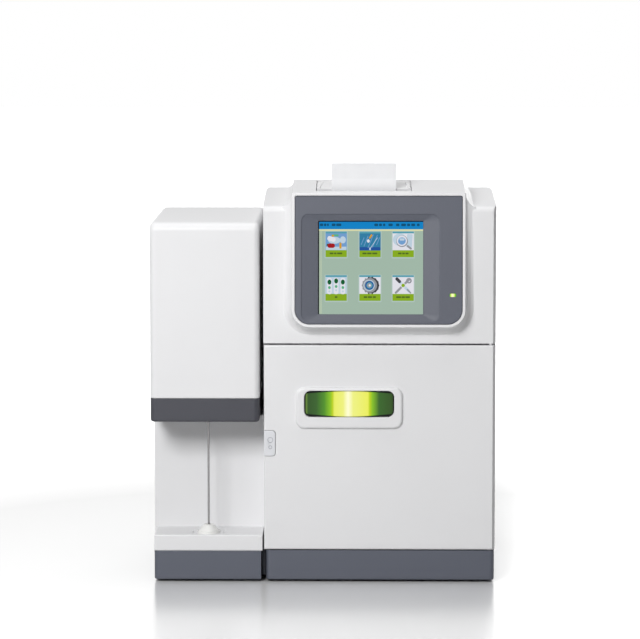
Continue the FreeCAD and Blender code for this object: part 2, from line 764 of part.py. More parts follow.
door = body("door_panel")
DOOR_X = ("left + seat_clearance", "right")
DOOR_Y = ("front", "front + door_depth")
box(door, "block", DOOR_X, DOOR_Y, ("door_low", "door_top"))
pocket(door, "corner_bevel", "XY", BEVEL, ("door_low - 1", "door_top + 1"))
soften(door, "front_rounds", "edge_round", along("X", y="front", z="door_low"),
       along("X", y="front", z="door_top"), along("Z", x=DOOR_X[0], y="front"))
cut_box(door, "hollow", (DOOR_X[0] + " + casing_wall", "right - casing_wall"),
        ("front + casing_wall", "front + door_depth + 1"),
        ("door_low + casing_wall", "door_top - casing_wall"))
pad(door, "bevel_backing", "XY",
    [("right - corner_bevel - casing_wall", "front + 1.5"),
     ("right - 1", "front + corner_bevel_depth + casing_wall"),
     ("right - casing_wall - 2", "front + corner_bevel_depth + casing_wall"),
     ("right - corner_bevel - 2 * casing_wall", "front + 1.5")], ("door_low + 1", "door_top - 1"))
WINDOW_X = ("window_left", "window_left + window_width")
WINDOW_Z = ("window_low", "window_low + window_height")
FRAME_X = ("window_left - frame_side", "window_left + window_width + frame_side")
FRAME_Z = ("window_low - frame_low", "window_low + window_height + frame_top")
ring = body("window_ring")
box(ring, "block", FRAME_X, ("front - frame_proud", "front + 1"), FRAME_Z)
soften(ring, "corners", "8", along("Y"))
soften(ring, "front_round", "2.4", rim_of("y", "front - frame_proud"))
HINGE_X = ("hinge_x - 4.5", "right - 1")
HINGE_Y = ("front + 1", "hinge_y + 4.5")
box(door, "low_hinge_boss", HINGE_X, HINGE_Y, ("door_low + 1", "door_low + 8"))
box(door, "high_hinge_boss", HINGE_X, HINGE_Y, ("door_top - 8", "door_top - 1"))
pocket(door, "boss_bevel", "XY", BEVEL, ("door_low - 1", "door_top + 1"))
BORE_DEPTH = "hinge_pin_length / 2 + 0.5"
bore(door, "low_hinge_bore", "Z", ("hinge_x", "hinge_y"), ("door_low - 1", "base_top + " + BORE_DEPTH),
     "hinge_pin_radius + running_clearance")
bore(door, "high_hinge_bore", "Z", ("hinge_x", "hinge_y"), ("seam - (%s)" % BORE_DEPTH, "door_top + 1"),
     "hinge_pin_radius + running_clearance")
KEY_X = ("left + seat_clearance", "left + key_width")
KEY_Z = ("key_low", "key_low + key_height")
cut_box(door, "key_notch", ("left - 1", KEY_X[1] + " + seat_clearance"),
        ("front - 1", "front + key_depth + key_travel + seat_clearance"),
        (KEY_Z[0] + " - seat_clearance", KEY_Z[1] + " + seat_clearance"))
soften(door, "key_notch_rounds", "3", along("Y", x=KEY_X[1] + " + seat_clearance"))
window_cut = body("window_cut")
box(window_cut, "opening", WINDOW_X, ("front - 10", "front + 10"), WINDOW_Z)
soften(window_cut, "corners", "window_corner", along("Y"))
piece(join("front_door", "Cut", join("door_with_ring", "Fuse", door, ring), window_cut))

CROWN = "(window_width * window_width / (8 * lens_crown) + lens_crown / 2)"
lens_core = body("lens_core")
LENS_X = ("window_left + lens_side_gap", "window_left + window_width - lens_side_gap")
LENS_Z = ("window_low + 0.2", "window_low + window_height - 0.2")
LENS_MID = "window_left + window_width / 2"
box(lens_core, "core", LENS_X, ("front - frame_proud", "front + casing_wall + 1"), LENS_Z)
soften(lens_core, "corners", "window_corner - 0.2", along("Y"))
dome = body("lens_dome")
rod(dome, "barrel", "Z", (LENS_MID, "front - 1.6 + " + CROWN),
    ("window_low - 1", "window_low + window_height + 1"), CROWN)
lens_front = join("lens_front", "Common", lens_core, dome)
BARREL = "(window_width * window_width / (8 * lens_end_gap) + lens_end_gap / 2)"
for name, centre in (("upper", LENS_Z[1] + " - " + BARREL), ("lower", LENS_Z[0] + " + " + BARREL)):
    bow = body("lens_%s_bow" % name)
    rod(bow, "bow", "Y", (LENS_MID, centre), ("front - 10", "front + 10"), BARREL)
    lens_front = join("lens_%s_trimmed" % name, "Common", lens_front, bow)
flange = body("lens_flange")
box(flange, "flange", (WINDOW_X[0] + " - 4", WINDOW_X[1] + " + 4"),
    ("front + casing_wall", "front + casing_wall + 1.5"), (WINDOW_Z[0] + " - 4", WINDOW_Z[1] + " + 4"))
piece(join("window_lens", "Fuse", lens_front, flange))

lamps = body("lamp_board")
LAMP_Y = "front + casing_wall + 3.2"
box(lamps, "laminate", (WINDOW_X[0] + " - 3", WINDOW_X[1] + " + 3"), (LAMP_Y, LAMP_Y + " + 1.6"),
    (WINDOW_Z[0] + " - 3", WINDOW_Z[1] + " + 3"))
for number in range(3):
    rod(lamps, "lamp_%d" % number, "Y", ("window_left + window_width * %g" % (0.28 + 0.22 * number),
                                         "window_low + window_height / 2"),
        ("front + casing_wall + 1.7", LAMP_Y + " + 0.5"), "2.5")
for number, (x, z) in enumerate((x, z) for x in (WINDOW_X[0] + " - 1", WINDOW_X[1] + " + 1")
                                for z in (WINDOW_Z[0] + " - 1", WINDOW_Z[1] + " + 1")):
    rod(lamps, "spacer_%d" % number, "Y", (x, z), ("front + casing_wall + 1.5", LAMP_Y + " + 0.5"), "1.6")
piece(lamps)

key = body("latch_key")
KEY_MID = "key_low + key_height / 2"
box(key, "cap", KEY_X, ("front - key_proud", "front + key_depth"), KEY_Z)
soften(key, "right_rounds", "3", along("Y", x=KEY_X[1]))
soften(key, "face_round", "0.7", rim_of("y", "front - key_proud"))
cut_box(key, "mark", ("left + 4", "left + 6.8"), ("front - 2", "front - key_proud + 0.5"),
        (KEY_MID + " - 3.2", KEY_MID + " + 3.2"))
soften(key, "mark_ends", "1.3", along("Y", x="left + 4"), along("Y", x="left + 6.8"))
box(key, "stem", ("left + 4.5", "left + 9"), ("front + 1", "front + door_depth - 0.5"),
    (KEY_MID + " - 4", KEY_MID + " + 4"))
piece(key)


# Inner frame behind the door: a service compartment with a deeper bay for the reagent pack

inner = body("inner_frame")
TUB_X = ("left + casing_wall + seat_clearance", "right - casing_wall - seat_clearance")
TUB_Y = ("casing_front", "casing_front + compartment_depth")
TUB_Z = ("base_top + seat_clearance", "seam - 2.5")
FLOOR = "casing_front + compartment_depth - compartment_wall"
PACK_X = ("left + 11", "left + 11 + pack_width")
PACK_Z = ("base_top + 6", "base_top + 6 + pack_height")
PACK_Y = ("casing_front + 6", "casing_front + 6 + pack_depth")
BAY_X = (PACK_X[0] + " - pack_clearance", PACK_X[1] + " + pack_clearance")
BAY_Z = (PACK_Z[0] + " - seat_clearance", PACK_Z[1] + " + pack_headroom")
box(inner, "tub", TUB_X, TUB_Y, TUB_Z)
box(inner, "bay", (BAY_X[0] + " - compartment_wall", BAY_X[1] + " + compartment_wall"),
    (TUB_Y[0] + " + 5", PACK_Y[1] + " + seat_clearance + compartment_wall"),
    (BAY_Z[0] + " - compartment_wall", BAY_Z[1] + " + compartment_wall"))
cut_box(inner, "tub_hollow", (TUB_X[0] + " + compartment_wall", TUB_X[1] + " - compartment_wall"),
        ("casing_front - 1", FLOOR), (TUB_Z[0] + " + compartment_wall", TUB_Z[1] + " - compartment_wall"))
cut_box(inner, "bay_hollow", BAY_X, ("casing_front - 1", PACK_Y[1] + " + seat_clearance"), BAY_Z)
PUMP = ("left + pump_offset", "base_top + pump_level")
bore(inner, "shaft_hole", "Y", PUMP, (FLOOR + " - 1", TUB_Y[1] + " + 1"), "pump_shaft_radius + 1")
MAGNET_X = (TUB_X[0] + " + 0.7", TUB_X[0] + " + 4.7")
MAGNET_Y = ("front + door_depth + seat_clearance", "casing_front + 8")
MAGNET_Z = ("door_top - 60", "door_top - 40")
cut_box(inner, "magnet_pocket", MAGNET_X, MAGNET_Y, MAGNET_Z)
piece(inner)

pack = body("reagent_pack")
box(pack, "carton", PACK_X, PACK_Y, PACK_Z)
soften(pack, "edges", "3", along("Y"))
soften(pack, "front_edges", "1.5", rim_of("y", PACK_Y[0]))
cut_box(pack, "finger_grip", (PACK_X[0] + " + 25", PACK_X[1] + " - 25"),
        (PACK_Y[0] + " - 1", PACK_Y[0] + " + 9"),
        (PACK_Z[1] + " - 24", PACK_Z[1] + " - 8"))
soften(pack, "grip_rounds", "5", along("Y", x=PACK_X[0] + " + 25"), along("Y", x=PACK_X[1] + " - 25"))
piece(pack)

magnet = body("door_magnet")
box(magnet, "magnet", MAGNET_X, MAGNET_Y, MAGNET_Z)
piece(magnet)


# Measuring module: five electrodes in line in their holder

ELECTRODES = 5
PITCH = "(electrode_width + electrode_gap)"
ROW = "window_left + window_width / 2 - %s * 2.5 + electrode_gap / 2" % PITCH
CELL_Z = ("window_low + 1", "window_low + 1 + electrode_height")
CELL_Y = (FLOOR + " - holder_depth - electrode_depth", FLOOR + " - holder_depth")
CELL_MID = ("(%s + %s) / 2" % CELL_Y, "(%s + %s) / 2" % CELL_Z)
holder = body("electrode_holder")
box(holder, "back", (ROW + " - 6", ROW + " + 5 * %s + 6" % PITCH), (CELL_Y[1], FLOOR),
    (CELL_Z[0] + " - 5", CELL_Z[1] + " + 5"))
box(holder, "shelf", (ROW + " - 6", ROW + " + 5 * %s + 6" % PITCH), (CELL_Y[0], CELL_Y[1] + " + 1"),
    (CELL_Z[0] + " - 4", CELL_Z[0]))
box(holder, "left_cheek", (ROW + " - 6", ROW + " - electrode_gap"), (CELL_Y[0], CELL_Y[1] + " + 1"),
    (CELL_Z[0] + " - 1", CELL_Z[1]))
box(holder, "right_cheek", (ROW + " + 5 * %s" % PITCH, ROW + " + 5 * %s + 6" % PITCH),
    (CELL_Y[0], CELL_Y[1] + " + 1"), (CELL_Z[0] + " - 1", CELL_Z[1]))
soften(holder, "back_corners", "2", along("Y", z=CELL_Z[1] + " + 5"))
bore(holder, "flow_path", "X", CELL_MID, (ROW + " - 10", ROW + " + 5 * %s + 10" % PITCH),
     "flow_bore_radius")
piece(holder)
for number in range(ELECTRODES):
    cell = body("electrode_%d" % (number + 1))
    start = ROW + " + %d * %s" % (number, PITCH)
    box(cell, "block", (start, start + " + electrode_width"), CELL_Y, CELL_Z)
    soften(cell, "edges", "1.2", along("Y"))
    rod(cell, "front_boss", "Y", (start + " + electrode_width / 2", CELL_MID[1]),
        (CELL_Y[0] + " - 2", CELL_Y[0] + " + 1"), "electrode_width * 0.36")
    bore(cell, "flow_bore", "X", CELL_MID, (start + " - 1", start + " + electrode_width + 1"),
         "flow_bore_radius")
    piece(cell)


# Peristaltic pump: track block, rotor with three rollers, tube and motor

PUMP_BACK = FLOOR + " - 2"
PUMP_FRONT = FLOOR + " - pump_body_depth"
ROTOR_LENGTH = "(2 * rotor_plate + roller_length + 0.8)"
ROTOR_Y = (PUMP_BACK + " - 0.5 - " + ROTOR_LENGTH, PUMP_BACK + " - 0.5")
ROLLER_Y = (ROTOR_Y[0] + " + rotor_plate + 0.4", ROTOR_Y[1] + " - rotor_plate - 0.4")
ORBIT = "(track_radius - tube_seat_clearance - 2 * tube_radius - roller_squeeze_gap - roller_radius)"
TUBE_RING = "(track_radius - tube_seat_clearance - tube_radius)"

track = body("pump_body")
box(track, "block", (PUMP[0] + " - track_radius - 6", PUMP[0] + " + track_radius + 6"), (PUMP_FRONT, FLOOR),
    (PUMP[1] + " - track_radius - 4", PUMP[1] + " + track_radius + 6"))
soften(track, "corners", "5", along("Y"))
bore(track, "track", "Y", PUMP, (PUMP_FRONT + " - 1", PUMP_BACK), "track_radius")
cut_box(track, "tube_exits", (PUMP[0] + " - track_radius", PUMP[0] + " + track_radius"),
        (PUMP_FRONT + " - 1", PUMP_BACK), (PUMP[1] + " - track_radius - 5", PUMP[1]))
bore(track, "shaft_hole", "Y", PUMP, (PUMP_BACK + " - 1", FLOOR + " + 1"), "pump_shaft_radius + 0.6")
piece(track)

rotor = body("pump_rotor")
rod(rotor, "front_plate", "Y", PUMP, (ROTOR_Y[0], ROTOR_Y[0] + " + rotor_plate"), "rotor_radius")
rod(rotor, "hub", "Y", PUMP, (ROTOR_Y[0], ROTOR_Y[1]), "6")
rod(rotor, "back_plate", "Y", PUMP, (ROTOR_Y[1] + " - rotor_plate", ROTOR_Y[1]), "rotor_radius")
rod(rotor, "knob", "Y", PUMP, (ROTOR_Y[0] + " - 3", ROTOR_Y[0] + " + 1"), "5")
rod(rotor, "shaft", "Y", PUMP, (ROTOR_Y[1] + " - 1", TUB_Y[1] + " + 12"), "pump_shaft_radius")
ROLLER_SPOTS = []
for number in range(3):
    angle = 90 + 120 * number
    spot = (PUMP[0] + " + %s * cos(%d)" % (ORBIT, angle), PUMP[1] + " + %s * sin(%d)" % (ORBIT, angle))
    ROLLER_SPOTS.append(spot)
    rod(rotor, "roller_pin_%d" % number, "Y", spot, (ROTOR_Y[0], ROTOR_Y[1]), "roller_pin_radius")
piece(rotor)
for number, spot in enumerate(ROLLER_SPOTS):
    roller = body("pump_roller_%d" % (number + 1))
    rod(roller, "roller", "Y", spot, ROLLER_Y, "roller_radius")
    bore(roller, "bore", "Y", spot, (ROLLER_Y[0] + " - 1", ROLLER_Y[1] + " + 1"),
         "roller_pin_radius + running_clearance")
    piece(roller)

TUBE_MID = "(%s + %s) / 2" % ROLLER_Y
arch = doc.addObject("Part::Torus", "tube_arch")
arch.setExpression("Radius1", full(TUBE_RING))
arch.setExpression("Radius2", full("tube_radius"))
arch.Angle3 = 180
arch.Placement = Placement(Vector(value(PUMP[0]), value(TUBE_MID), value(PUMP[1])),
                           Rotation(Vector(1, 0, 0), 90))
for axis, where in zip("xyz", (PUMP[0], TUBE_MID, PUMP[1])):
    arch.setExpression("Placement.Base.%s" % axis, full(where))
legs = []
for name, side in (("inlet", "-"), ("outlet", "+")):
    leg = body("tube_" + name)
    spot = (PUMP[0] + " %s %s" % (side, TUBE_RING), TUBE_MID)
    rod(leg, "leg", "Z", spot, (PUMP[1] + " - track_radius - 10", PUMP[1]), "tube_radius")
    rod(leg, "collar", "Z", spot, (PUMP[1] + " - track_radius - 12", PUMP[1] + " - track_radius - 4.5"),
        "tube_radius + 1.2")
    legs.append(leg)
piece(join("pump_tube", "Fuse", arch, *legs))

motor = body("pump_motor")
rod(motor, "can", "Y", PUMP, (TUB_Y[1], TUB_Y[1] + " + pump_motor_length"), "pump_motor_radius")
soften(motor, "rear_round", "1.5", rim_of("y", TUB_Y[1] + " + pump_motor_length"))
bore(motor, "bearing", "Y", PUMP, (TUB_Y[1] + " - 1", TUB_Y[1] + " + 12.5"),
     "pump_shaft_radius + running_clearance")
piece(motor)

valves = body("valve_block")
VALVE_X = (PUMP[0] + " - 27", PUMP[0] + " + 27")
VALVE_Z = (PUMP[1] + " + 36", PUMP[1] + " + 70")
box(valves, "manifold", VALVE_X, (FLOOR + " - 12", FLOOR), VALVE_Z)
soften(valves, "corners", "2", along("Y"))
for number in range(3):
    rod(valves, "solenoid_%d" % number, "Y",
        (PUMP[0] + " + 17.5 * %d" % (number - 1), "(%s + %s) / 2" % VALVE_Z),
        (FLOOR + " - 26", FLOOR + " - 11"), "7.5")
piece(valves)


# Electronics and power

main_board = body("main_board")
box(main_board, "laminate", BOARD_X, BOARD_Y, BOARD_Z)
for number, (y, z, length, height, depth) in enumerate(((20, 30, 24, 24, 3), (60, 18, 12, 40, 9),
                                                        (20, 78, 40, 10, 8),
                                                        (75, 80, 18, 18, 12))):
    box(main_board, "part_%d" % number, (BOARD_X[0] + " - %g" % depth, BOARD_X[0] + " + 0.5"),
        (BOARD_Y[0] + " + %g" % y, BOARD_Y[0] + " + %g" % (y + length)),
        (BOARD_Z[0] + " + %g" % z, BOARD_Z[0] + " + %g" % (z + height)))
piece(main_board)

supply = body("power_supply")
box(supply, "case", ("left + 14", "left + 104"), ("rear - 82", "rear - 14"),
    ("base_low + casing_wall", "base_low + casing_wall + 40"))
soften(supply, "edges", "1", along("Z"))
for number in range(6):
    cut_box(supply, "slot_%d" % number, ("left + 22 + 13 * %d" % number, "left + 28 + 13 * %d" % number),
            ("rear - 70", "rear - 26"), ("base_low + casing_wall + 38.8", "base_low + casing_wall + 41"))
piece(supply)


# Rear panel with power inlet, rocker switch, serial port and fan

PLATE_Y = (LEDGE + " - rear_panel_thickness", LEDGE)
plate = body("rear_panel")
box(plate, "plate", PANEL_X, PLATE_Y, PANEL_Z)
FAN = (PANEL_MID + " + 34", "(%s + %s) / 2 + 12" % PANEL_Z)
INLET = (PANEL_MID + " - 38", "(%s + %s) / 2 - 12" % PANEL_Z)
PORT = (PANEL_MID + " - 38", "(%s + %s) / 2 + 32" % PANEL_Z)
for number in range(-3, 4):
    half = "sqrt(grille_radius * grille_radius - %d * grille_pitch * grille_pitch)" % number ** 2
    middle = FAN[0] + " + grille_pitch * (%d)" % number
    cut_box(plate, "grille_slot_%d" % (number + 3),
            (middle + " - grille_slot / 2", middle + " + grille_slot / 2"),
            (LEDGE + " - 5", LEDGE + " + 1"), (FAN[1] + " - " + half, FAN[1] + " + " + half))
cut_box(plate, "inlet_cutout", (INLET[0] + " - 14.2", INLET[0] + " + 14.2"),
        (LEDGE + " - 5", LEDGE + " + 1"),
        (INLET[1] + " - 24.2", INLET[1] + " + 24.2"))
cut_box(plate, "port_cutout", (PORT[0] + " - 10", PORT[0] + " + 10"), (LEDGE + " - 5", LEDGE + " + 1"),
        (PORT[1] + " - 5.5", PORT[1] + " + 5.5"))
for number, spot in enumerate(PANEL_SCREWS):
    bore(plate, "screw_hole_%d" % number, "Y", spot, (LEDGE + " - 5", LEDGE + " + 1"),
         "screw_shank_radius + 0.1")
piece(plate)

screws = []
for number, spot in enumerate(PANEL_SCREWS):
    screw = body("panel_screw_%d" % (number + 1))
    rod(screw, "shank", "Y", spot, ("rear - 11", "rear - 1"), "screw_shank_radius")
    rod(screw, "head", "Y", spot, ("rear - 1.8", "rear - 0.2"), "screw_head_radius")
    screws.append(screw)
piece(join("panel_screws", "Fuse", *screws))

inlet = body("power_inlet")
box(inlet, "flange", (INLET[0] + " - 17", INLET[0] + " + 17"), (LEDGE, LEDGE + " + 2"),
    (INLET[1] + " - 28", INLET[1] + " + 28"))
soften(inlet, "flange_corners", "2", along("Y"))
box(inlet, "case", (INLET[0] + " - 14", INLET[0] + " + 14"), (LEDGE + " - 26", LEDGE + " + 1"),
    (INLET[1] + " - 24", INLET[1] + " + 24"))
cut_box(inlet, "socket", (INLET[0] + " - 12", INLET[0] + " + 12"), (LEDGE + " - 15", LEDGE + " + 3"),
        (INLET[1] + " - 20", INLET[1] + " - 3.5"))
for number, (x, z) in enumerate(((-7, -14), (0, -9), (7, -14))):
    box(inlet, "pin_%d" % number, (INLET[0] + " + %g" % (x - 1), INLET[0] + " + %g" % (x + 1)),
        (LEDGE + " - 16", LEDGE + " - 3"), (INLET[1] + " + %g" % (z - 2), INLET[1] + " + %g" % (z + 2)))
ROCKER = (LEDGE + " - 0.5", INLET[1] + " + 12")
bore(inlet, "rocker_well", "X", ROCKER, (INLET[0] + " - 10.3", INLET[0] + " + 10.3"), "7.3")
cut_box(inlet, "rocker_mouth", (INLET[0] + " - 10.3", INLET[0] + " + 10.3"),
        (LEDGE + " - 0.5", LEDGE + " + 3"),
        (ROCKER[1] + " - 7.3", ROCKER[1] + " + 7.3"))
piece(inlet)

rocker = body("rocker_switch")
rod(rocker, "barrel", "X", ROCKER, (INLET[0] + " - 10", INLET[0] + " + 10"), "7")
pocket(rocker, "low_face", "YZ", [(ROCKER[0] + " + 2.2", ROCKER[1] + " - 0.4"),
                                  (ROCKER[0] + " + 9", ROCKER[1] + " - 0.4"),
                                 (ROCKER[0] + " + 9", ROCKER[1] + " - 9"),
                                 (ROCKER[0] + " + 5.4", ROCKER[1] + " - 9")],
       (INLET[0] + " - 11", INLET[0] + " + 11"))
pocket(rocker, "high_face", "YZ", [(ROCKER[0] + " + 2.2", ROCKER[1] + " - 0.5"),
                                  (ROCKER[0] + " + 0.6", ROCKER[1] + " + 9"),
                                  (ROCKER[0] + " + 9", ROCKER[1] + " + 9"),
                                  (ROCKER[0] + " + 9", ROCKER[1] + " - 0.5")],
       (INLET[0] + " - 11", INLET[0] + " + 11"))
piece(rocker)

port = body("serial_port")
box(port, "flange", (PORT[0] + " - 15.5", PORT[0] + " + 15.5"), (LEDGE, LEDGE + " + 0.8"),
    (PORT[1] + " - 6.2", PORT[1] + " + 6.2"))
box(port, "shroud", (PORT[0] + " - 8.5", PORT[0] + " + 8.5"), (LEDGE + " - 6", LEDGE + " + 5.6"),
    (PORT[1] + " - 4.2", PORT[1] + " + 4.2"))
soften(port, "shroud_corners", "1.6", along("Y", x=PORT[0] + " - 8.5"), along("Y", x=PORT[0] + " + 8.5"))
for side in ("-", "+"):
    rod(port, "jack_" + ("left" if side == "-" else "right"), "Y", (PORT[0] + " %s 12.5" % side, PORT[1]),
        (LEDGE, LEDGE + " + 4.5"), "2.4")
piece(port)

fan = body("fan_frame")
FAN_Y = (PLATE_Y[0] + " - fan_depth", PLATE_Y[0])
box(fan, "frame", (FAN[0] + " - fan_size / 2", FAN[0] + " + fan_size / 2"), FAN_Y,
    (FAN[1] + " - fan_size / 2", FAN[1] + " + fan_size / 2"))
soften(fan, "corners", "3", along("Y"))
bore(fan, "duct", "Y", FAN, (FAN_Y[0] + " - 1", FAN_Y[1] + " + 1"), "fan_size / 2 - 2")
box(fan, "strut_across", (FAN[0] + " - fan_size / 2 + 1", FAN[0] + " + fan_size / 2 - 1"),
    (FAN_Y[0], FAN_Y[0] + " + 2"),
    (FAN[1] + " - 2", FAN[1] + " + 2"))
box(fan, "strut_up", (FAN[0] + " - 2", FAN[0] + " + 2"), (FAN_Y[0], FAN_Y[0] + " + 2"),
    (FAN[1] + " - fan_size / 2 + 1", FAN[1] + " + fan_size / 2 - 1"))
rod(fan, "motor_plate", "Y", FAN, (FAN_Y[0], FAN_Y[0] + " + 2"), "fan_hub_radius")
rod(fan, "spindle", "Y", FAN, (FAN_Y[0] + " + 1", FAN_Y[1] + " - 4"), "1.5")
piece(fan)

fan_rotor = body("fan_rotor")
HUB_Y = (FAN_Y[0] + " + 2.4", FAN_Y[1] + " - 1.5")
rod(fan_rotor, "hub", "Y", FAN, HUB_Y, "fan_hub_radius")
bore(fan_rotor, "spindle_bore", "Y", FAN, (HUB_Y[0] + " - 1", FAN_Y[1] + " - 3.5"),
     "1.5 + running_clearance")
BLADES = 7
BLADE_PITCH = Rotation(Vector(1, 0, 0), 40)
for number in range(BLADES):
    turn = Rotation(Vector(0, 1, 0), 360 / BLADES * number)
    blade = fan_rotor.newObject("PartDesign::AdditiveBox", "blade_%d" % number)
    blade.setExpression("Length", full("fan_size / 2 - 2 - blade_tip_gap - fan_hub_radius + 1"))
    blade.setExpression("Width", full("blade_chord"))
    blade.setExpression("Height", full("blade_thickness"))
    root = turn.multVec(Vector(value("fan_hub_radius") - 1, 0, 0))
    middle = Vector(value(FAN[0]), value("(%s + %s) / 2" % HUB_Y), value(FAN[1]))
    drop = (turn * BLADE_PITCH).multVec(Vector(0, value("blade_chord") / 2, value("blade_thickness") / 2))
    blade.Placement = Placement(middle + root - drop, turn * BLADE_PITCH)
doc.recompute()
piece(fan_rotor)


# Printer, made in the tilted frame of the housing's top: tub, print head, paper, lid and platen

HINGE = ("printer_length - 3.5", "-1.6")
LID_X = ("-printer_width / 2 + 0.4", "printer_width / 2 - 0.4")
LID_Y = ("10.2", "printer_length - 2.2")
PLATEN = ("13.8", "-6.5")
HEAD_FACE = "8.6"
TEAR_EDGE = "7.8"
PAPER_LINE = "9"

tub = body("printer_tub")
box(tub, "block", ("-printer_width / 2", "printer_width / 2"),
    ("seat_clearance", "printer_length - seat_clearance"),
    ("-printer_depth", "-lid_thickness"))
box(tub, "front_rim", ("-printer_width / 2", "printer_width / 2"), ("seat_clearance", "2.3"),
    ("-lid_thickness - 2", "-0.3"))
box(tub, "tear_bar", ("-printer_width / 2 + 1", "printer_width / 2 - 1"), ("2", TEAR_EDGE),
    ("-3", "-tear_bar_drop"))
for number in range(10):
    cut_box(tub, "comb_%d" % number, ("-paper_width / 2 + %g" % (5.6 * number + 1),
                                      "-paper_width / 2 + %g" % (5.6 * number + 4)),
            (TEAR_EDGE + " - tear_tooth", TEAR_EDGE + " + 1"), ("-tear_bar_drop - 1.2", "0"))
cut_box(tub, "rear_notch", ("-printer_width / 2 - 1", "printer_width / 2 + 1"),
        ("printer_length - 4", "printer_length + 1"),
        ("-6", "1"))
cut_box(tub, "hollow", ("-printer_width / 2 + 2", "printer_width / 2 - 2"), ("2.3", "printer_length - 2.3"),
        ("-printer_depth + 2", "1"))
soften(tub, "floor_round", "8", along("X", y="printer_length - 2.3", z="-printer_depth + 2"))
for side in ("-", "+"):
    name = "left" if side == "-" else "right"
    low = "printer_width / 2 - 2.5" if side == "+" else "-printer_width / 2 + 1"
    high = "printer_width / 2 - 1" if side == "+" else "-printer_width / 2 + 2.5"
    box(tub, name + "_ear", (low, high), ("printer_length - 8", "printer_length - 1"), ("-6", "-0.3"))
for side in ("-", "+"):
    name = "left" if side == "-" else "right"
    low = "printer_width / 2 - 5.5" if side == "+" else "-printer_width / 2 + 1.5"
    high = "printer_width / 2 - 1.5" if side == "+" else "-printer_width / 2 + 5.5"
    rod(tub, name + "_pivot", "X", HINGE, (low, high), "0.8")
for side in ("-", "+"):
    name = "left" if side == "-" else "right"
    middle = "%s (paper_width / 2 + 3)" % side
    box(tub, name + "_cheek", (middle + " - 1", middle + " + 1"), ("18", "printer_length - 4"),
        ("-printer_depth + 1", "-24 - 6"))
piece(stand(tub, "printer"))

print_head = body("print_head")
box(print_head, "block", ("-printer_width / 2 + 2.2", "printer_width / 2 - 2.2"), ("2.4", HEAD_FACE),
    ("-16", "-3"))
piece(stand(print_head, "printer"))

ROLL = ("printer_length / 2 + 5", "-printer_depth + 2 + roll_radius + 0.3")
ROLL_SPOT = Vector(0, value(ROLL[0]), value(ROLL[1]))
TURN_SPOT = Vector(0, value(PAPER_LINE), value("-14"))


def paper_shape():
    """the roll with its free end led up in front of the platen and out of the slot"""
    thickness, width, radius = value("paper_thickness"), value("paper_width"), value("roll_radius")
    reach = TURN_SPOT - ROLL_SPOT
    bearing = math.atan2(reach.z, reach.y)
    swing = math.acos((radius - thickness / 2) / reach.Length)
    touch_angle = bearing - swing
    off = ROLL_SPOT + Vector(0, math.cos(touch_angle), math.sin(touch_angle)) * (radius - thickness / 2)
    top = Vector(0, value(PAPER_LINE), value("paper_proud * 0.4"))
    end = Vector(0, value(PAPER_LINE) - 1.5, value("paper_proud"))
    roll = Part.makeCylinder(radius, width, Vector(-width / 2, ROLL_SPOT.y, ROLL_SPOT.z), Vector(1, 0, 0))
    roll = roll.cut(Part.makeCylinder(6, width + 2, Vector(-width / 2 - 1, ROLL_SPOT.y, ROLL_SPOT.z),
                                      Vector(1, 0, 0)))

    def ribbon(start, finish):
        along_it = (finish - start).normalize()
        side = Vector(0, -along_it.z, along_it.y) * (thickness / 2)
        corners = [start + side, finish + side, finish - side, start - side, start + side]
        corners = [Vector(-width / 2, corner.y, corner.z) for corner in corners]
        return Part.Face(Part.makePolygon(corners)).extrude(Vector(width, 0, 0))
    shape = roll
    for start, finish in ((off, TURN_SPOT), (TURN_SPOT, top), (top, end)):
        shape = shape.fuse(ribbon(start, finish))
    for knee in (TURN_SPOT, top):
        shape = shape.fuse(Part.makeCylinder(thickness / 2, width, Vector(-width / 2, knee.y, knee.z),
                                             Vector(1, 0, 0)))
    return shape.removeSplitter()


paper = doc.addObject("Part::Feature", "thermal_paper")
paper.Shape = paper_shape()
piece(stand(paper, "printer"))

lid = body("printer_lid")
EAR_Y = "printer_length - 9"
pad(lid, "plate", "XY", [(LID_X[0], LID_Y[0]), (LID_X[1], LID_Y[0]), (LID_X[1], EAR_Y),
                         (LID_X[1] + " - lid_ear_notch", EAR_Y), (LID_X[1] + " - lid_ear_notch", LID_Y[1]),
                         (LID_X[0] + " + lid_ear_notch", LID_Y[1]), (LID_X[0] + " + lid_ear_notch", EAR_Y),
                         (LID_X[0], EAR_Y)], ("-lid_thickness", "0"))
for side in ("-", "+"):
    name = "left" if side == "-" else "right"
    edge = "(printer_width / 2 - 0.4)"
    corners = [("%s (%s)" % (side, across), up) for across, up in
               ((edge, LID_Y[0]), (edge + " - 2.6", LID_Y[0]), (edge + " - 5", "printer_length - 12"),
                (edge + " - 2.6", "printer_length - 12"))]
    if side == "-":
        corners.reverse()
    pad(lid, name + "_rib", "XY", corners, ("-1", "1.4"))
soften(lid, "rib_rounds", "0.6", rim_of("z", "1.4"))
box(lid, "barrel_bar", (LID_X[0] + " + 2.7", LID_X[1] + " - 2.7"), ("printer_length - 5.6", LID_Y[1]),
    ("-3.4", "-1"))
bore(lid, "pivot_bore", "X", HINGE, ("-printer_width", "printer_width"), "0.8 + running_clearance")
for side in ("-", "+"):
    name = "left" if side == "-" else "right"
    middle = "%s (paper_width / 2 + 3)" % side
    box(lid, name + "_arm", (middle + " - 1.2", middle + " + 1.2"), ("11", "17"), ("-9", "-1"))
    bore(lid, name + "_arm_bore", "X", PLATEN, (middle + " - 2", middle + " + 2"),
         "platen_shaft_radius + running_clearance")
piece(stand(lid, "printer"))

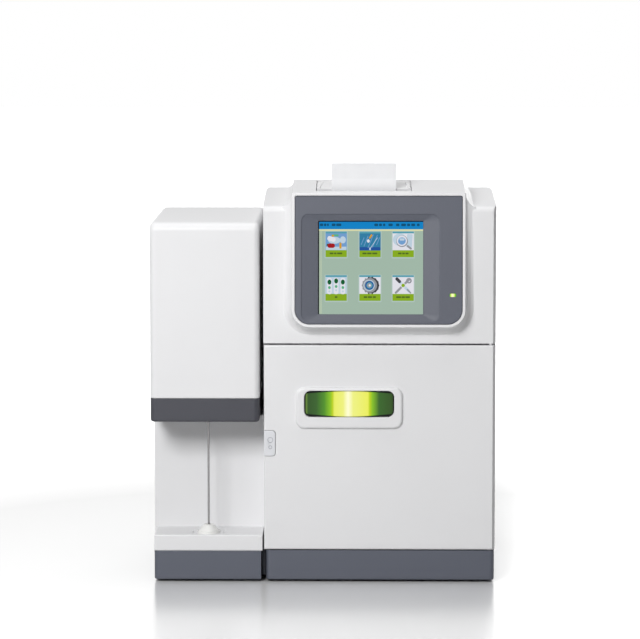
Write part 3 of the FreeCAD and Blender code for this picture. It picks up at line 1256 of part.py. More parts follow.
platen = body("platen_roller")
rod(platen, "rubber", "X", PLATEN, ("-paper_width / 2 - 1", "paper_width / 2 + 1"), "platen_radius")
rod(platen, "shaft", "X", PLATEN, ("-paper_width / 2 - 5", "paper_width / 2 + 6"), "platen_shaft_radius")
rod(platen, "gear", "X", PLATEN, ("paper_width / 2 + 4.8", "paper_width / 2 + 8"), "3.6")
piece(stand(platen, "printer"))


# Sampling module: base, tray, wash cup, column, trim and head

foot_pan = body("sampler_base")
PAN_LOW_X = ("sampler_left + tray_side_setback", "sampler_right + 1")
box(foot_pan, "block", PAN_LOW_X, ("front + base_setback", "sampler_rear - base_setback"),
    ("base_low", "sampler_top"))
soften(foot_pan, "upright_rounds", "4", along("Z", x=PAN_LOW_X[0]))
soften(foot_pan, "foot_round", "edge_round", rim_of("z", "base_low"))
cut_box(foot_pan, "hollow", (PAN_LOW_X[0] + " + casing_wall", PAN_LOW_X[1] + " - casing_wall"),
        ("front + base_setback + casing_wall", "sampler_rear - base_setback - casing_wall"),
        ("base_low + casing_wall", "sampler_top + 1"))
for number, spot in enumerate(FEET["sampler"]):
    bore(foot_pan, "foot_seat_%d" % number, "Z", spot, ("base_low - 1", "base_low + 1"),
         "foot_radius + seat_clearance")
piece(foot_pan)

tray = body("sampler_tray")
TRAY_X = ("sampler_left + tray_side_setback", "left - 1.2")
TRAY_Z = ("sampler_top", "tray_top")
COLUMN_FRONT = "front + recess_depth"
NEEDLE_Y = "front + needle_setback"
box(tray, "block", TRAY_X, ("front", COLUMN_FRONT), TRAY_Z)
soften(tray, "front_edges", "1.2", along("X", y="front"), along("Y", x=TRAY_X[0], z="tray_top"))
cut_box(tray, "underside", (TRAY_X[0] + " + casing_wall", TRAY_X[1] + " - casing_wall"),
        ("front + casing_wall", COLUMN_FRONT + " - casing_wall"),
        ("sampler_top - 1", "tray_top - casing_wall"))
bore(tray, "drain_hole", "Z", ("needle_x", NEEDLE_Y), ("sampler_top - 1", "tray_top + 1"), "cup_radius - 3")
for side, name in (("-", "left"), ("+", "right")):
    middle = "needle_x %s (cup_radius + 3.4)" % side
    cut_box(tray, name + "_tick", (middle + " - 0.6", middle + " + 0.6"),
            (NEEDLE_Y + " - 5", NEEDLE_Y + " + 11"),
            ("tray_top - 1", "tray_top + 1"))
piece(tray)

cup = body("wash_cup")
rod(cup, "flange", "Z", ("needle_x", NEEDLE_Y), ("tray_top", "tray_top + 2"), "cup_radius")
cone = cup.newObject("PartDesign::AdditiveCone", "dome")
cone.setExpression("Radius1", full("cup_radius - 1"))
cone.setExpression("Radius2", full("cup_radius * 0.45"))
cone.setExpression("Height", full("cup_height - 1.5"))
for axis, where in zip("xyz", ("needle_x", NEEDLE_Y, "tray_top + 1.5")):
    cone.setExpression("Placement.Base.%s" % axis, full(where))
doc.recompute()
soften(cup, "crown_round", "2.2", rim_of("z", "tray_top + cup_height"))
rod(cup, "drain_pipe", "Z", ("needle_x", NEEDLE_Y), ("tray_top - 9", "tray_top + 1"), "cup_radius - 3.3")
bore(cup, "well", "Z", ("needle_x", NEEDLE_Y), ("tray_top - 6", "tray_top + cup_height + 1"), "2.6")
piece(cup)

column = body("sampler_column")
COLUMN_X = ("sampler_left", "left")
box(column, "block", COLUMN_X, (COLUMN_FRONT, "sampler_rear"), ("sampler_top", "head_low"))
soften(column, "rear_round", "4", along("Z", x="sampler_left", y="sampler_rear"))
cut_box(column, "hollow", ("sampler_left + casing_wall", "left - casing_wall"),
        (COLUMN_FRONT + " + casing_wall", "sampler_rear - casing_wall"),
        ("sampler_top - 1", "head_low + 1"))
piece(column)

trim = body("head_trim")
HEAD_X = ("sampler_left", "sampler_right")
HEAD_Y = ("head_front", "sampler_rear")
box(trim, "block", HEAD_X, HEAD_Y, ("head_low", "trim_top"))
soften(trim, "upright_rounds", "5", along("Z", x="sampler_left"),
       along("Z", x="sampler_right", y="head_front"))
soften(trim, "low_round", "2.5", rim_of("z", "head_low"))
cut_box(trim, "hollow", ("sampler_left + casing_wall", "sampler_right - casing_wall"),
        ("head_front + casing_wall", "sampler_rear - casing_wall"),
        ("head_low + casing_wall", "trim_top + 1"))
bore(trim, "needle_hole", "Z", ("needle_x", NEEDLE_Y), ("head_low - 1", "head_low + casing_wall + 1"), "3")
piece(trim)

head = body("head_block")
pad(head, "side_profile", "YZ",
    [("head_front", "trim_top"), ("head_front", "head_front_top"),
     ("sampler_rear", "head_front_top + head_rise"),
     ("sampler_rear", "trim_top")], HEAD_X)
soften(head, "front_crease", "head_round", along("X", y="head_front", z="head_front_top"),
       along("X", y="sampler_rear", z="head_front_top + head_rise"))
soften(head, "upright_rounds", "5", along("Z", x="sampler_left"),
       along("Z", x="sampler_right", y="head_front"))
soften(head, "low_round", "0.8", rim_of("z", "trim_top"))
head_hollow = body("head_core")
pad(head_hollow, "hollow", "YZ",
    [("head_front + casing_wall", "trim_top - 1"),
     ("head_front + casing_wall", "head_front_top - casing_wall"),
     ("sampler_rear - casing_wall", "head_front_top + head_rise - casing_wall"),
     ("sampler_rear - casing_wall", "trim_top - 1")],
     ("sampler_left + casing_wall", "sampler_right - casing_wall"))
soften(head_hollow, "front_round", "head_round - casing_wall",
       along("X", y="head_front + casing_wall", z="head_front_top - casing_wall"))
soften(head_hollow, "corners", "3", along("Z", y="head_front + casing_wall"))
piece(join("sampler_head", "Cut", head, head_hollow))


# Needle lift inside the head: frame, guide rods, lead screw, motor, carriage and needle

ROD_Y = "front + rod_setback"
LIFT_LOW = "head_low + casing_wall"
LIFT_TOP = "head_low + casing_wall + 2 + 4 + carriage_height + needle_travel + 9"
CARRIAGE_Z = (LIFT_LOW + " + 6", LIFT_LOW + " + 6 + carriage_height")
lift = body("drive_frame")
LIFT_X = ("needle_x - rod_spacing / 2 - 9", "needle_x + rod_spacing / 2 + 9")
box(lift, "back", LIFT_X, (ROD_Y + " + 17", ROD_Y + " + 20"), (LIFT_LOW, LIFT_TOP))
box(lift, "low_flange", LIFT_X, (ROD_Y + " - 12", ROD_Y + " + 20"), (LIFT_LOW, LIFT_LOW + " + 3"))
box(lift, "high_flange", LIFT_X, (ROD_Y + " - 14", ROD_Y + " + 20"), (LIFT_TOP + " - 3", LIFT_TOP))
RODS = [("needle_x - rod_spacing / 2", ROD_Y), ("needle_x + rod_spacing / 2", ROD_Y)]
for number, spot in enumerate(RODS):
    bore(lift, "rod_seat_%d" % number, "Z", spot, (LIFT_LOW + " + 1", LIFT_TOP + " + 1"), "rod_radius")
bore(lift, "screw_bearing", "Z", ("needle_x", ROD_Y), (LIFT_LOW + " + 1", LIFT_TOP + " + 1"),
     "screw_radius + running_clearance")
piece(lift)
for name, spot in zip(("left", "right"), RODS):
    guide = body("guide_rod_" + name)
    rod(guide, "rod", "Z", spot, (LIFT_LOW + " + 1", LIFT_TOP), "rod_radius")
    piece(guide)

lead = body("lead_screw")
rod(lead, "screw", "Z", ("needle_x", ROD_Y), (LIFT_LOW + " + 1.2", LIFT_TOP + " + 8"), "screw_radius")
piece(lead)

lift_motor = body("lift_motor")
MOTOR_X = ("needle_x - motor_size / 2", "needle_x + motor_size / 2")
MOTOR_Y = (ROD_Y + " - motor_size / 2", ROD_Y + " + motor_size / 2")
box(lift_motor, "case", MOTOR_X, MOTOR_Y, (LIFT_TOP, LIFT_TOP + " + motor_height"))
soften(lift_motor, "corners", "3", along("Z"))
bore(lift_motor, "bearing", "Z", ("needle_x", ROD_Y), (LIFT_TOP + " - 1", LIFT_TOP + " + 8.5"),
     "screw_radius + running_clearance")
piece(lift_motor)

carriage = body("needle_carriage")
box(carriage, "block", ("needle_x - rod_spacing / 2 - 8", "needle_x + rod_spacing / 2 + 8"),
    (ROD_Y + " - 8", ROD_Y + " + 8"), CARRIAGE_Z)
box(carriage, "arm", ("needle_x - 6", "needle_x + 6"), (NEEDLE_Y + " - 5", ROD_Y + " - 7"),
    (CARRIAGE_Z[1] + " - 10", CARRIAGE_Z[1]))
soften(carriage, "arm_nose", "4", along("Z", y=NEEDLE_Y + " - 5"))
for number, spot in enumerate(RODS):
    bore(carriage, "rod_bore_%d" % number, "Z", spot, (CARRIAGE_Z[0] + " - 1", CARRIAGE_Z[1] + " + 1"),
         "rod_radius + running_clearance")
bore(carriage, "nut", "Z", ("needle_x", ROD_Y), (CARRIAGE_Z[0] + " - 1", CARRIAGE_Z[1] + " + 1"),
     "screw_radius + running_clearance")
bore(carriage, "needle_seat", "Z", ("needle_x", NEEDLE_Y), (CARRIAGE_Z[0] + " - 1", CARRIAGE_Z[1] + " + 1"),
     "needle_radius")
piece(carriage)

needle = body("needle")
rod(needle, "tube", "Z", ("needle_x", NEEDLE_Y), ("base_low + needle_level - 1", CARRIAGE_Z[1] + " + 8"),
    "needle_radius")
rod(needle, "collar", "Z", ("needle_x", NEEDLE_Y), (CARRIAGE_Z[1], CARRIAGE_Z[1] + " + 5"), "2.6")
bore(needle, "bore", "Z", ("needle_x", NEEDLE_Y), ("base_low", CARRIAGE_Z[1] + " + 20"),
     "needle_bore_radius")
piece(needle)


# Check every object, then write each piece to its own file

doc.recompute()
for item in doc.Objects:
    faults = [word for word in item.State if word in ("Invalid", "Error")]
    assert not faults, "%s is %s" % (item.Label, faults)
os.makedirs("parts", exist_ok=True)
for made in pieces:
    shape = made.Shape
    assert not shape.isNull() and shape.isValid() and shape.Solids, made.Label + " has no valid solid"
    shape.exportStep(os.path.join("parts", made.Label + ".step"))
print(len(pieces), "pieces written")
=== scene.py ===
import math

import bpy
from mathutils import Matrix, Vector


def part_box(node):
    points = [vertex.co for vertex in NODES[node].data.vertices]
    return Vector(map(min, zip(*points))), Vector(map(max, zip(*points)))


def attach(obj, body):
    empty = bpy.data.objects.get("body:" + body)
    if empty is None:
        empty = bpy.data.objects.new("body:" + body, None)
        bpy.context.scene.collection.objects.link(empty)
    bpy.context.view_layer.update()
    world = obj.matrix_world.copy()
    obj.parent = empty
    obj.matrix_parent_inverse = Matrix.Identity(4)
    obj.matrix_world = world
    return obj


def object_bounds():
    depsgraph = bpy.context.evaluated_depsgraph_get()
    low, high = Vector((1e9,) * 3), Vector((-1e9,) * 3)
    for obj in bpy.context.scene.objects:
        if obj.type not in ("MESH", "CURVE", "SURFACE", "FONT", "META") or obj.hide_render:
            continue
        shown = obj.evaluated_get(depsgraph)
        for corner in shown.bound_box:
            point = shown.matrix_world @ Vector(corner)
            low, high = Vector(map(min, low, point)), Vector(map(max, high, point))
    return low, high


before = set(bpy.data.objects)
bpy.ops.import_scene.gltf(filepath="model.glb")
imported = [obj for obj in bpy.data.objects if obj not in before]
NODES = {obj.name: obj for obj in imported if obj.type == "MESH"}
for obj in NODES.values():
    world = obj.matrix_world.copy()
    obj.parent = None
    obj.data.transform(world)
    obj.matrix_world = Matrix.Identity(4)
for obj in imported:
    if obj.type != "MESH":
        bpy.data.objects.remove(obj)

cad_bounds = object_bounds()
MM = 0.001
UPRIGHT = math.radians(90)


# Places read from the solids, in metres

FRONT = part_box("sampler_tray")[0].y
GROUND = cad_bounds[0][2]
SCREEN_TILT = math.radians(5)
GLASS_THICKNESS = 1.2 * MM
glass_low, glass_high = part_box("touch_panel")
GLASS_FOOT = GLASS_THICKNESS * math.sin(SCREEN_TILT)
GLASS_CORNER = Vector((glass_low.x, glass_low.y, glass_low.z + GLASS_FOOT))
SCREEN = Matrix.Translation(GLASS_CORNER) @ Matrix.Rotation(-SCREEN_TILT, 4, "X")


# Surface effects shared by several materials

def effect(name, inputs, outputs):
    """an empty shader group with named sockets"""
    group = bpy.data.node_groups.new(name, "ShaderNodeTree")
    for label, kind, default in inputs:
        socket = group.interface.new_socket(label, in_out="INPUT", socket_type=kind)
        socket.default_value = default
    for label, kind in outputs:
        group.interface.new_socket(label, in_out="OUTPUT", socket_type=kind)
    start = group.nodes.new("NodeGroupInput")
    end = group.nodes.new("NodeGroupOutput")
    return group, start, end


def moulding_grain_effect():
    """fine spark-eroded grain with a slow unevenness under it"""
    inputs = [("Grain Size", "NodeSocketFloat", 900.0), ("Tone Size", "NodeSocketFloat", 14.0)]
    outputs = [("Height", "NodeSocketFloat"), ("Tone", "NodeSocketFloat")]
    group, start, end = effect("moulding_grain", inputs, outputs)
    place = group.nodes.new("ShaderNodeTexCoord")
    grain = group.nodes.new("ShaderNodeTexNoise")
    grain.inputs["Detail"].default_value = 3
    grain.inputs["Roughness"].default_value = 0.6
    tone = group.nodes.new("ShaderNodeTexNoise")
    tone.inputs["Detail"].default_value = 2
    group.links.new(place.outputs["Object"], grain.inputs["Vector"])
    group.links.new(place.outputs["Object"], tone.inputs["Vector"])
    group.links.new(start.outputs["Grain Size"], grain.inputs["Scale"])
    group.links.new(start.outputs["Tone Size"], tone.inputs["Scale"])
    group.links.new(grain.outputs["Fac"], end.inputs["Height"])
    group.links.new(tone.outputs["Fac"], end.inputs["Tone"])
    return group


def soft_edge_effect():
    """the small radius that a mould leaves on every edge, with a mask of where it lies"""
    group, start, end = effect("soft_edge", [("Radius", "NodeSocketFloat", 0.0004)],
                               [("Normal", "NodeSocketVector"), ("Edge", "NodeSocketFloat")])
    bevel = group.nodes.new("ShaderNodeBevel")
    bevel.samples = 6
    shape = group.nodes.new("ShaderNodeNewGeometry")
    match = group.nodes.new("ShaderNodeVectorMath")
    match.operation = "DOT_PRODUCT"
    spread = group.nodes.new("ShaderNodeMapRange")
    spread.inputs["From Min"].default_value = 1.0
    spread.inputs["From Max"].default_value = 0.75
    group.links.new(start.outputs["Radius"], bevel.inputs["Radius"])
    group.links.new(bevel.outputs["Normal"], match.inputs[0])
    group.links.new(shape.outputs["Normal"], match.inputs[1])
    group.links.new(match.outputs["Value"], spread.inputs["Value"])
    group.links.new(bevel.outputs["Normal"], end.inputs["Normal"])
    group.links.new(spread.outputs["Result"], end.inputs["Edge"])
    return group


def drawn_lines_effect():
    """fine parallel lines of a turned, drawn or brushed metal, along one axis"""
    group, start, end = effect("drawn_lines", [("Stretch", "NodeSocketVector", (1.0, 1.0, 1.0))],
                               [("Height", "NodeSocketFloat")])
    place = group.nodes.new("ShaderNodeTexCoord")
    stretch = group.nodes.new("ShaderNodeVectorMath")
    stretch.operation = "MULTIPLY"
    lines = group.nodes.new("ShaderNodeTexNoise")
    lines.inputs["Scale"].default_value = 1.0
    lines.inputs["Detail"].default_value = 4
    group.links.new(place.outputs["Object"], stretch.inputs[0])
    group.links.new(start.outputs["Stretch"], stretch.inputs[1])
    group.links.new(stretch.outputs["Vector"], lines.inputs["Vector"])
    group.links.new(lines.outputs["Fac"], end.inputs["Height"])
    return group


MOULDING_GRAIN = moulding_grain_effect()
SOFT_EDGE = soft_edge_effect()
DRAWN_LINES = drawn_lines_effect()


# Materials: lengths in metres, colours as linear red, green and blue

# Colours of the lit lenses from their left end, 0, to their right end, 1
# in the window's bands the thin paler band at 0.068, near its left end, is a painted highlight on the rim
# of its boss
WINDOW_GLOW_AND_HIGHLIGHT_BANDS = ((0.0, (0.004, 0.012, 0.003)), (0.055, (0.012, 0.045, 0.006)), (0.068, (0.13, 0.24, 0.035)),
                (0.085, (0.022, 0.075, 0.010)), (0.17, (0.030, 0.105, 0.015)), (0.25, (0.070, 0.26, 0.012)),
                (0.31, (0.24, 0.53, 0.008)), (0.335, (0.50, 0.62, 0.004)), (0.35, (0.80, 0.84, 0.12)),
                (0.44, (0.84, 0.86, 0.20)), (0.49, (1.0, 0.98, 0.66)), (0.54, (0.84, 0.86, 0.22)),
                (0.69, (0.82, 0.84, 0.10)), (0.705, (0.52, 0.64, 0.004)), (0.735, (0.22, 0.50, 0.01)),
                (0.80, (0.032, 0.12, 0.015)), (0.92, (0.026, 0.075, 0.010)), (1.0, (0.004, 0.012, 0.003)))
LAMP_BANDS = ((0.0, (0.03, 0.30, 0.01)), (0.16, (0.22, 0.62, 0.02)), (0.32, (0.86, 0.95, 0.28)),
              (0.5, (1.0, 1.0, 0.66)), (0.68, (0.86, 0.95, 0.28)), (0.84, (0.22, 0.62, 0.02)),
              (1.0, (0.03, 0.30, 0.01)))

# Tones multiply a colour and glosses add to a roughness, from the least to the most
PLASTIC_TONE = (0.975, 1.02)
PLASTIC_GLOSS = (-0.04, 0.05)
PLASTIC_RELIEF = 0.6
METAL_TONE = (0.86, 1.1)
METAL_GLOSS = (-0.08, 0.1)
METAL_RELIEF = 0.5
METAL_EDGE = 0.0003
INK_TONE = (0.95, 1.03)
LENS_BOW = 0.34
BORDER_SOFTNESS = 0.05
FADE_DEPTH = 0.8 * MM
BLACK = (0.0, 0.0, 0.0)


def finish(name):
    """a new material with its shader ready to be set"""
    made = bpy.data.materials.new(name)
    made.use_nodes = True
    return made, made.node_tree.nodes, made.node_tree.links, made.node_tree.nodes["Principled BSDF"]


def use_effect(nodes, group, **values):
    """place a shared effect in a material with this material's values"""
    node = nodes.new("ShaderNodeGroup")
    node.node_tree = group
    for label, number in values.items():
        node.inputs[label.replace("_", " ")].default_value = number
    return node


def between(nodes, links, amount, low, high):
    """a colour between two, chosen by a value"""
    mix = nodes.new("ShaderNodeMix")
    mix.data_type = "RGBA"
    mix.inputs["A"].default_value = (*low, 1)
    mix.inputs["B"].default_value = (*high, 1)
    links.new(amount, mix.inputs["Factor"])
    return mix.outputs["Result"]


def toward(nodes, links, amount, colour, goal):
    """a linked colour drawn toward a fixed one by a value"""
    mix = nodes.new("ShaderNodeMix")
    mix.data_type = "RGBA"
    mix.inputs["B"].default_value = (*goal, 1)
    links.new(colour, mix.inputs["A"])
    links.new(amount, mix.inputs["Factor"])
    return mix.outputs["Result"]


def ranged(nodes, links, value, low, high, start=0.0, stop=1.0):
    """a value spread from one range onto another"""
    spread = nodes.new("ShaderNodeMapRange")
    for label, number in (("From Min", start), ("From Max", stop), ("To Min", low), ("To Max", high)):
        spread.inputs[label].default_value = number
    links.new(value, spread.inputs["Value"])
    return spread.outputs["Result"]


def reckoned(nodes, links, operation, *values):
    """the outcome of one operation on linked values and plain numbers"""
    node = nodes.new("ShaderNodeMath")
    node.operation = operation
    for socket, value in zip(node.inputs, values):
        if isinstance(value, (int, float)):
            socket.default_value = value
        else:
            links.new(value, socket)
    return node.outputs["Value"]


def relief(nodes, links, shader, height, depth, strength=1.0, normal=None):
    """a fine relief on the shader's surface, over its rounded edges where these are given"""
    bump = nodes.new("ShaderNodeBump")
    bump.inputs["Distance"].default_value = depth
    bump.inputs["Strength"].default_value = strength
    links.new(height, bump.inputs["Height"])
    if normal is not None:
        links.new(normal, bump.inputs["Normal"])
    links.new(bump.outputs["Normal"], shader.inputs["Normal"])


def shade(colour, factor):
    """the same colour, lighter or darker"""
    return tuple(min(1.0, part * factor) for part in colour)


def moulded_plastic(name, colour, roughness, grain=900, depth=0.00002, radius=0.0005, edge_highlight=1.16):
    """injection-moulded plastic: even colour with a faint tone, fine grain, soft edges with a painted
    highlight along them
    """
    made, nodes, links, shader = finish(name)
    grain_node = use_effect(nodes, MOULDING_GRAIN, Grain_Size=grain)
    edge_node = use_effect(nodes, SOFT_EDGE, Radius=radius)
    even = grain_node.outputs["Tone"]
    low_tone, high_tone = PLASTIC_TONE
    tone = between(nodes, links, even, shade(colour, low_tone), shade(colour, high_tone))
    # the colour is drawn paler along every edge: a painted highlight
    highlighted_tone = toward(nodes, links, edge_node.outputs["Edge"], tone, shade(colour, edge_highlight))
    links.new(highlighted_tone, shader.inputs["Base Color"])
    smoother, duller = PLASTIC_GLOSS
    gloss = ranged(nodes, links, even, roughness + smoother, roughness + duller)
    links.new(gloss, shader.inputs["Roughness"])
    relief(nodes, links, shader, grain_node.outputs["Height"], depth, PLASTIC_RELIEF,
           edge_node.outputs["Normal"])
    return made


def worked_metal(name, colour, roughness, stretch, depth=0.00002):
    """steel or aluminium with the fine lines of turning, drawing or brushing"""
    made, nodes, links, shader = finish(name)
    lines = use_effect(nodes, DRAWN_LINES, Stretch=stretch).outputs["Height"]
    edge_node = use_effect(nodes, SOFT_EDGE, Radius=METAL_EDGE)
    low_tone, high_tone = METAL_TONE
    tone = between(nodes, links, lines, shade(colour, low_tone), shade(colour, high_tone))
    links.new(tone, shader.inputs["Base Color"])
    smoother, duller = METAL_GLOSS
    gloss = ranged(nodes, links, lines, roughness + smoother, roughness + duller)
    links.new(gloss, shader.inputs["Roughness"])
    shader.inputs["Metallic"].default_value = 1.0
    relief(nodes, links, shader, lines, depth, METAL_RELIEF, edge_node.outputs["Normal"])
    return made


def circuit_board(name):
    """green solder mask with paler copper runs under it"""
    made, nodes, links, shader = finish(name)
    place = nodes.new("ShaderNodeTexCoord")
    tracks = nodes.new("ShaderNodeTexVoronoi")
    tracks.distance = "MANHATTAN"
    tracks.inputs["Scale"].default_value = 240
    links.new(place.outputs["Object"], tracks.inputs["Vector"])
    run = ranged(nodes, links, tracks.outputs["Distance"], 0.0, 1.0, 0.42, 0.5)
    mask = between(nodes, links, run, (0.012, 0.105, 0.045), (0.03, 0.19, 0.085))
    links.new(mask, shader.inputs["Base Color"])
    links.new(ranged(nodes, links, run, 0.42, 0.3), shader.inputs["Roughness"])
    relief(nodes, links, shader, run, 0.00004)
    return made


def lit_lens(name, low, high, bands, depth, border):
    """clear moulding lit from behind: colour bands along X, painted black past a bowed border and a depth
    as painted shade in the gap round it
    """
    made, nodes, links, shader = finish(name)
    place = nodes.new("ShaderNodeTexCoord")
    split = nodes.new("ShaderNodeSeparateXYZ")
    links.new(place.outputs["Object"], split.inputs["Vector"])
    glow = nodes.new("ShaderNodeValToRGB")
    ramp = glow.color_ramp
    ramp.elements[0].color = (*bands[0][1], 1)
    ramp.elements[1].color = (*bands[-1][1], 1)
    for spot, colour in bands[1:-1]:
        ramp.elements.new(spot).color = (*colour, 1)
    links.new(ranged(nodes, links, split.outputs["X"], 0.0, 1.0, low.x, high.x), glow.inputs["Fac"])
    across = ranged(nodes, links, split.outputs["X"], -1.0, 1.0, low.x, high.x)
    height = ranged(nodes, links, split.outputs["Z"], -1.0, 1.0, low.z, high.z)
    square = reckoned(nodes, links, "POWER", across, 2)
    bow = reckoned(nodes, links, "MULTIPLY_ADD", square, LENS_BOW, 1.0)
    level = reckoned(nodes, links, "ABSOLUTE", reckoned(nodes, links, "MULTIPLY", height, bow))
    # past the bowed border and past the depth the glow goes black: painted shade in the gap round the
    # window's boss
    shade_past_border = ranged(nodes, links, level, 0.0, 1.0, border - BORDER_SOFTNESS, border)
    border_shaded_glow = toward(nodes, links, shade_past_border, glow.outputs["Color"], BLACK)
    last = low.y + depth
    shade_past_depth = ranged(nodes, links, split.outputs["Y"], 0.0, 1.0, last, last + FADE_DEPTH)
    depth_shaded_glow = toward(nodes, links, shade_past_depth, border_shaded_glow, BLACK)
    links.new(depth_shaded_glow, shader.inputs["Emission Color"])
    shader.inputs["Base Color"].default_value = (0.004, 0.01, 0.003, 1)
    shader.inputs["Emission Strength"].default_value = 1.0
    shader.inputs["Roughness"].default_value = 0.14
    shader.inputs["Specular IOR Level"].default_value = 0.14
    return made


def display_ink(name, colour, glow=1.0):
    """one colour of the lit display under its clear cover, with the panel's fine dot rows"""
    made, nodes, links, shader = finish(name)
    place = nodes.new("ShaderNodeTexCoord")
    rows = nodes.new("ShaderNodeTexWave")
    rows.bands_direction = "Z"
    rows.inputs["Scale"].default_value = 900
    links.new(place.outputs["Object"], rows.inputs["Vector"])
    low_tone, high_tone = INK_TONE
    ink = between(nodes, links, rows.outputs["Fac"], shade(colour, low_tone), shade(colour, high_tone))
    links.new(ink, shader.inputs["Emission Color"])
    shader.inputs["Base Color"].default_value = (0.004, 0.004, 0.0045, 1)
    shader.inputs["Emission Strength"].default_value = glow
    shader.inputs["Roughness"].default_value = 0.3
    shader.inputs["Specular IOR Level"].default_value = 0.04
    return made


def thermal_paper_finish(name):
    """smooth coated paper with a faint fibre cloud"""
    made, nodes, links, shader = finish(name)
    grain_node = use_effect(nodes, MOULDING_GRAIN, Grain_Size=1400.0, Tone_Size=90.0)
    cloud = between(nodes, links, grain_node.outputs["Tone"], (0.88, 0.885, 0.90), (0.93, 0.935, 0.95))
    links.new(cloud, shader.inputs["Base Color"])
    shader.inputs["Roughness"].default_value = 0.62
    relief(nodes, links, shader, grain_node.outputs["Height"], 0.00001)
    return made


def printed_carton(name):
    """white folding carton with a plain blue band printed round its front"""
    made, nodes, links, shader = finish(name)
    low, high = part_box("reagent_pack")
    grain_node = use_effect(nodes, MOULDING_GRAIN, Grain_Size=700.0, Tone_Size=60.0)
    place = nodes.new("ShaderNodeTexCoord")
    split = nodes.new("ShaderNodeSeparateXYZ")
    links.new(place.outputs["Object"], split.inputs["Vector"])
    band_middle = low.z + 0.3 * (high.z - low.z)
    half_band = 9 * MM
    band = reckoned(nodes, links, "COMPARE", split.outputs["Z"], band_middle, half_band)
    card = between(nodes, links, grain_node.outputs["Tone"], (0.70, 0.70, 0.69), (0.77, 0.77, 0.76))
    printed = toward(nodes, links, band, card, (0.05, 0.22, 0.42))
    links.new(printed, shader.inputs["Base Color"])
    shader.inputs["Roughness"].default_value = 0.6
    relief(nodes, links, shader, grain_node.outputs["Height"], 0.00004)
    return made


WHITE = (0.80, 0.80, 0.81)
SLATE = (0.078, 0.086, 0.112)
# radius of the soft edges, which also sets the width of the painted highlight along them
CASE_EDGE = 0.0009
case_plastic = moulded_plastic("case_plastic", WHITE, 0.42, radius=CASE_EDGE)
door_plastic = moulded_plastic("door_plastic", WHITE, 0.42, radius=CASE_EDGE)
column_plastic = moulded_plastic("column_plastic", shade(WHITE, 0.98), 0.46)
tray_plastic = moulded_plastic("tray_plastic", WHITE, 0.4)
key_plastic = moulded_plastic("key_plastic", (0.74, 0.75, 0.78), 0.38)
lid_plastic = moulded_plastic("lid_plastic", WHITE, 0.4)
cup_plastic = moulded_plastic("cup_plastic", (0.84, 0.84, 0.82), 0.25, depth=0.00001)
base_plastic = moulded_plastic("base_plastic", SLATE, 0.5, grain=700, depth=0.00003, edge_highlight=1.25)
trim_plastic = moulded_plastic("trim_plastic", (0.027, 0.028, 0.038), 0.5, grain=700, depth=0.00003,
                               edge_highlight=1.25)
bezel_plastic = moulded_plastic("bezel_plastic", (0.082, 0.089, 0.114), 0.5, grain=800, depth=0.00003,
                                radius=0.0014, edge_highlight=1.12)
frame_plastic = moulded_plastic("frame_plastic", (0.50, 0.51, 0.53), 0.5)
holder_plastic = moulded_plastic("holder_plastic", (0.06, 0.06, 0.065), 0.45)
electrode_plastic = moulded_plastic("electrode_plastic", (0.66, 0.68, 0.62), 0.2, depth=0.000008)
pump_plastic = moulded_plastic("pump_plastic", (0.70, 0.68, 0.60), 0.35)
rotor_plastic = moulded_plastic("rotor_plastic", (0.16, 0.17, 0.19), 0.4)
roller_plastic = moulded_plastic("roller_plastic", (0.78, 0.78, 0.76), 0.3)
tube_silicone = moulded_plastic("tube_silicone", (0.72, 0.70, 0.60), 0.3, depth=0.000006)
valve_plastic = moulded_plastic("valve_plastic", (0.58, 0.64, 0.67), 0.15, depth=0.000005)
black_plastic = moulded_plastic("black_plastic", (0.018, 0.018, 0.02), 0.42, edge_highlight=1.8)
rocker_plastic = moulded_plastic("rocker_plastic", (0.012, 0.012, 0.013), 0.22, edge_highlight=1.8)
carriage_plastic = moulded_plastic("carriage_plastic", (0.22, 0.23, 0.25), 0.45)
foot_rubber = moulded_plastic("foot_rubber", (0.02, 0.02, 0.021), 0.75, grain=500, depth=0.00006)
platen_rubber = moulded_plastic("platen_rubber", (0.025, 0.025, 0.028), 0.6, grain=600, depth=0.00004)
magnet_ferrite = moulded_plastic("magnet_ferrite", (0.03, 0.03, 0.032), 0.55, grain=400, depth=0.00008)
panel_paint = moulded_plastic("panel_paint", (0.42, 0.43, 0.45), 0.48, grain=500, depth=0.00005)
drawn_steel = worked_metal("drawn_steel", (0.58, 0.58, 0.59), 0.28, (900, 900, 30))
needle_steel = worked_metal("needle_steel", (0.22, 0.215, 0.22), 0.4, (1500, 1500, 4), 0.0000005)
motor_steel = worked_metal("motor_steel", (0.40, 0.41, 0.42), 0.38, (200, 30, 200))
port_steel = worked_metal("port_steel", (0.60, 0.60, 0.60), 0.3, (400, 400, 60))
sheet_aluminium = worked_metal("sheet_aluminium", (0.62, 0.63, 0.64), 0.42, (40, 700, 700))
board_green = circuit_board("board_green")
# A depth past the lamp's own length and a border past its edge leave it lit all over; on the window the
# border and depth paint shade in the gap round its boss
WINDOW_LIT_DEPTH = 2.2 * MM
WINDOW_SHADE_BORDER = 0.74
LAMP_LIT_DEPTH = 20 * MM
NO_SHADE_BORDER = 1.5
window_green = lit_lens("window_green", *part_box("window_lens"), WINDOW_GLOW_AND_HIGHLIGHT_BANDS, WINDOW_LIT_DEPTH,
                        WINDOW_SHADE_BORDER)
lamp_glow = lit_lens("lamp_glow", *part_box("lamp_lens"), LAMP_BANDS, LAMP_LIT_DEPTH, NO_SHADE_BORDER)
screen_glass = display_ink("screen_glass", (0.02, 0.022, 0.022), 0.0)
paper_white = thermal_paper_finish("paper_white")
carton_card = printed_carton("carton_card")

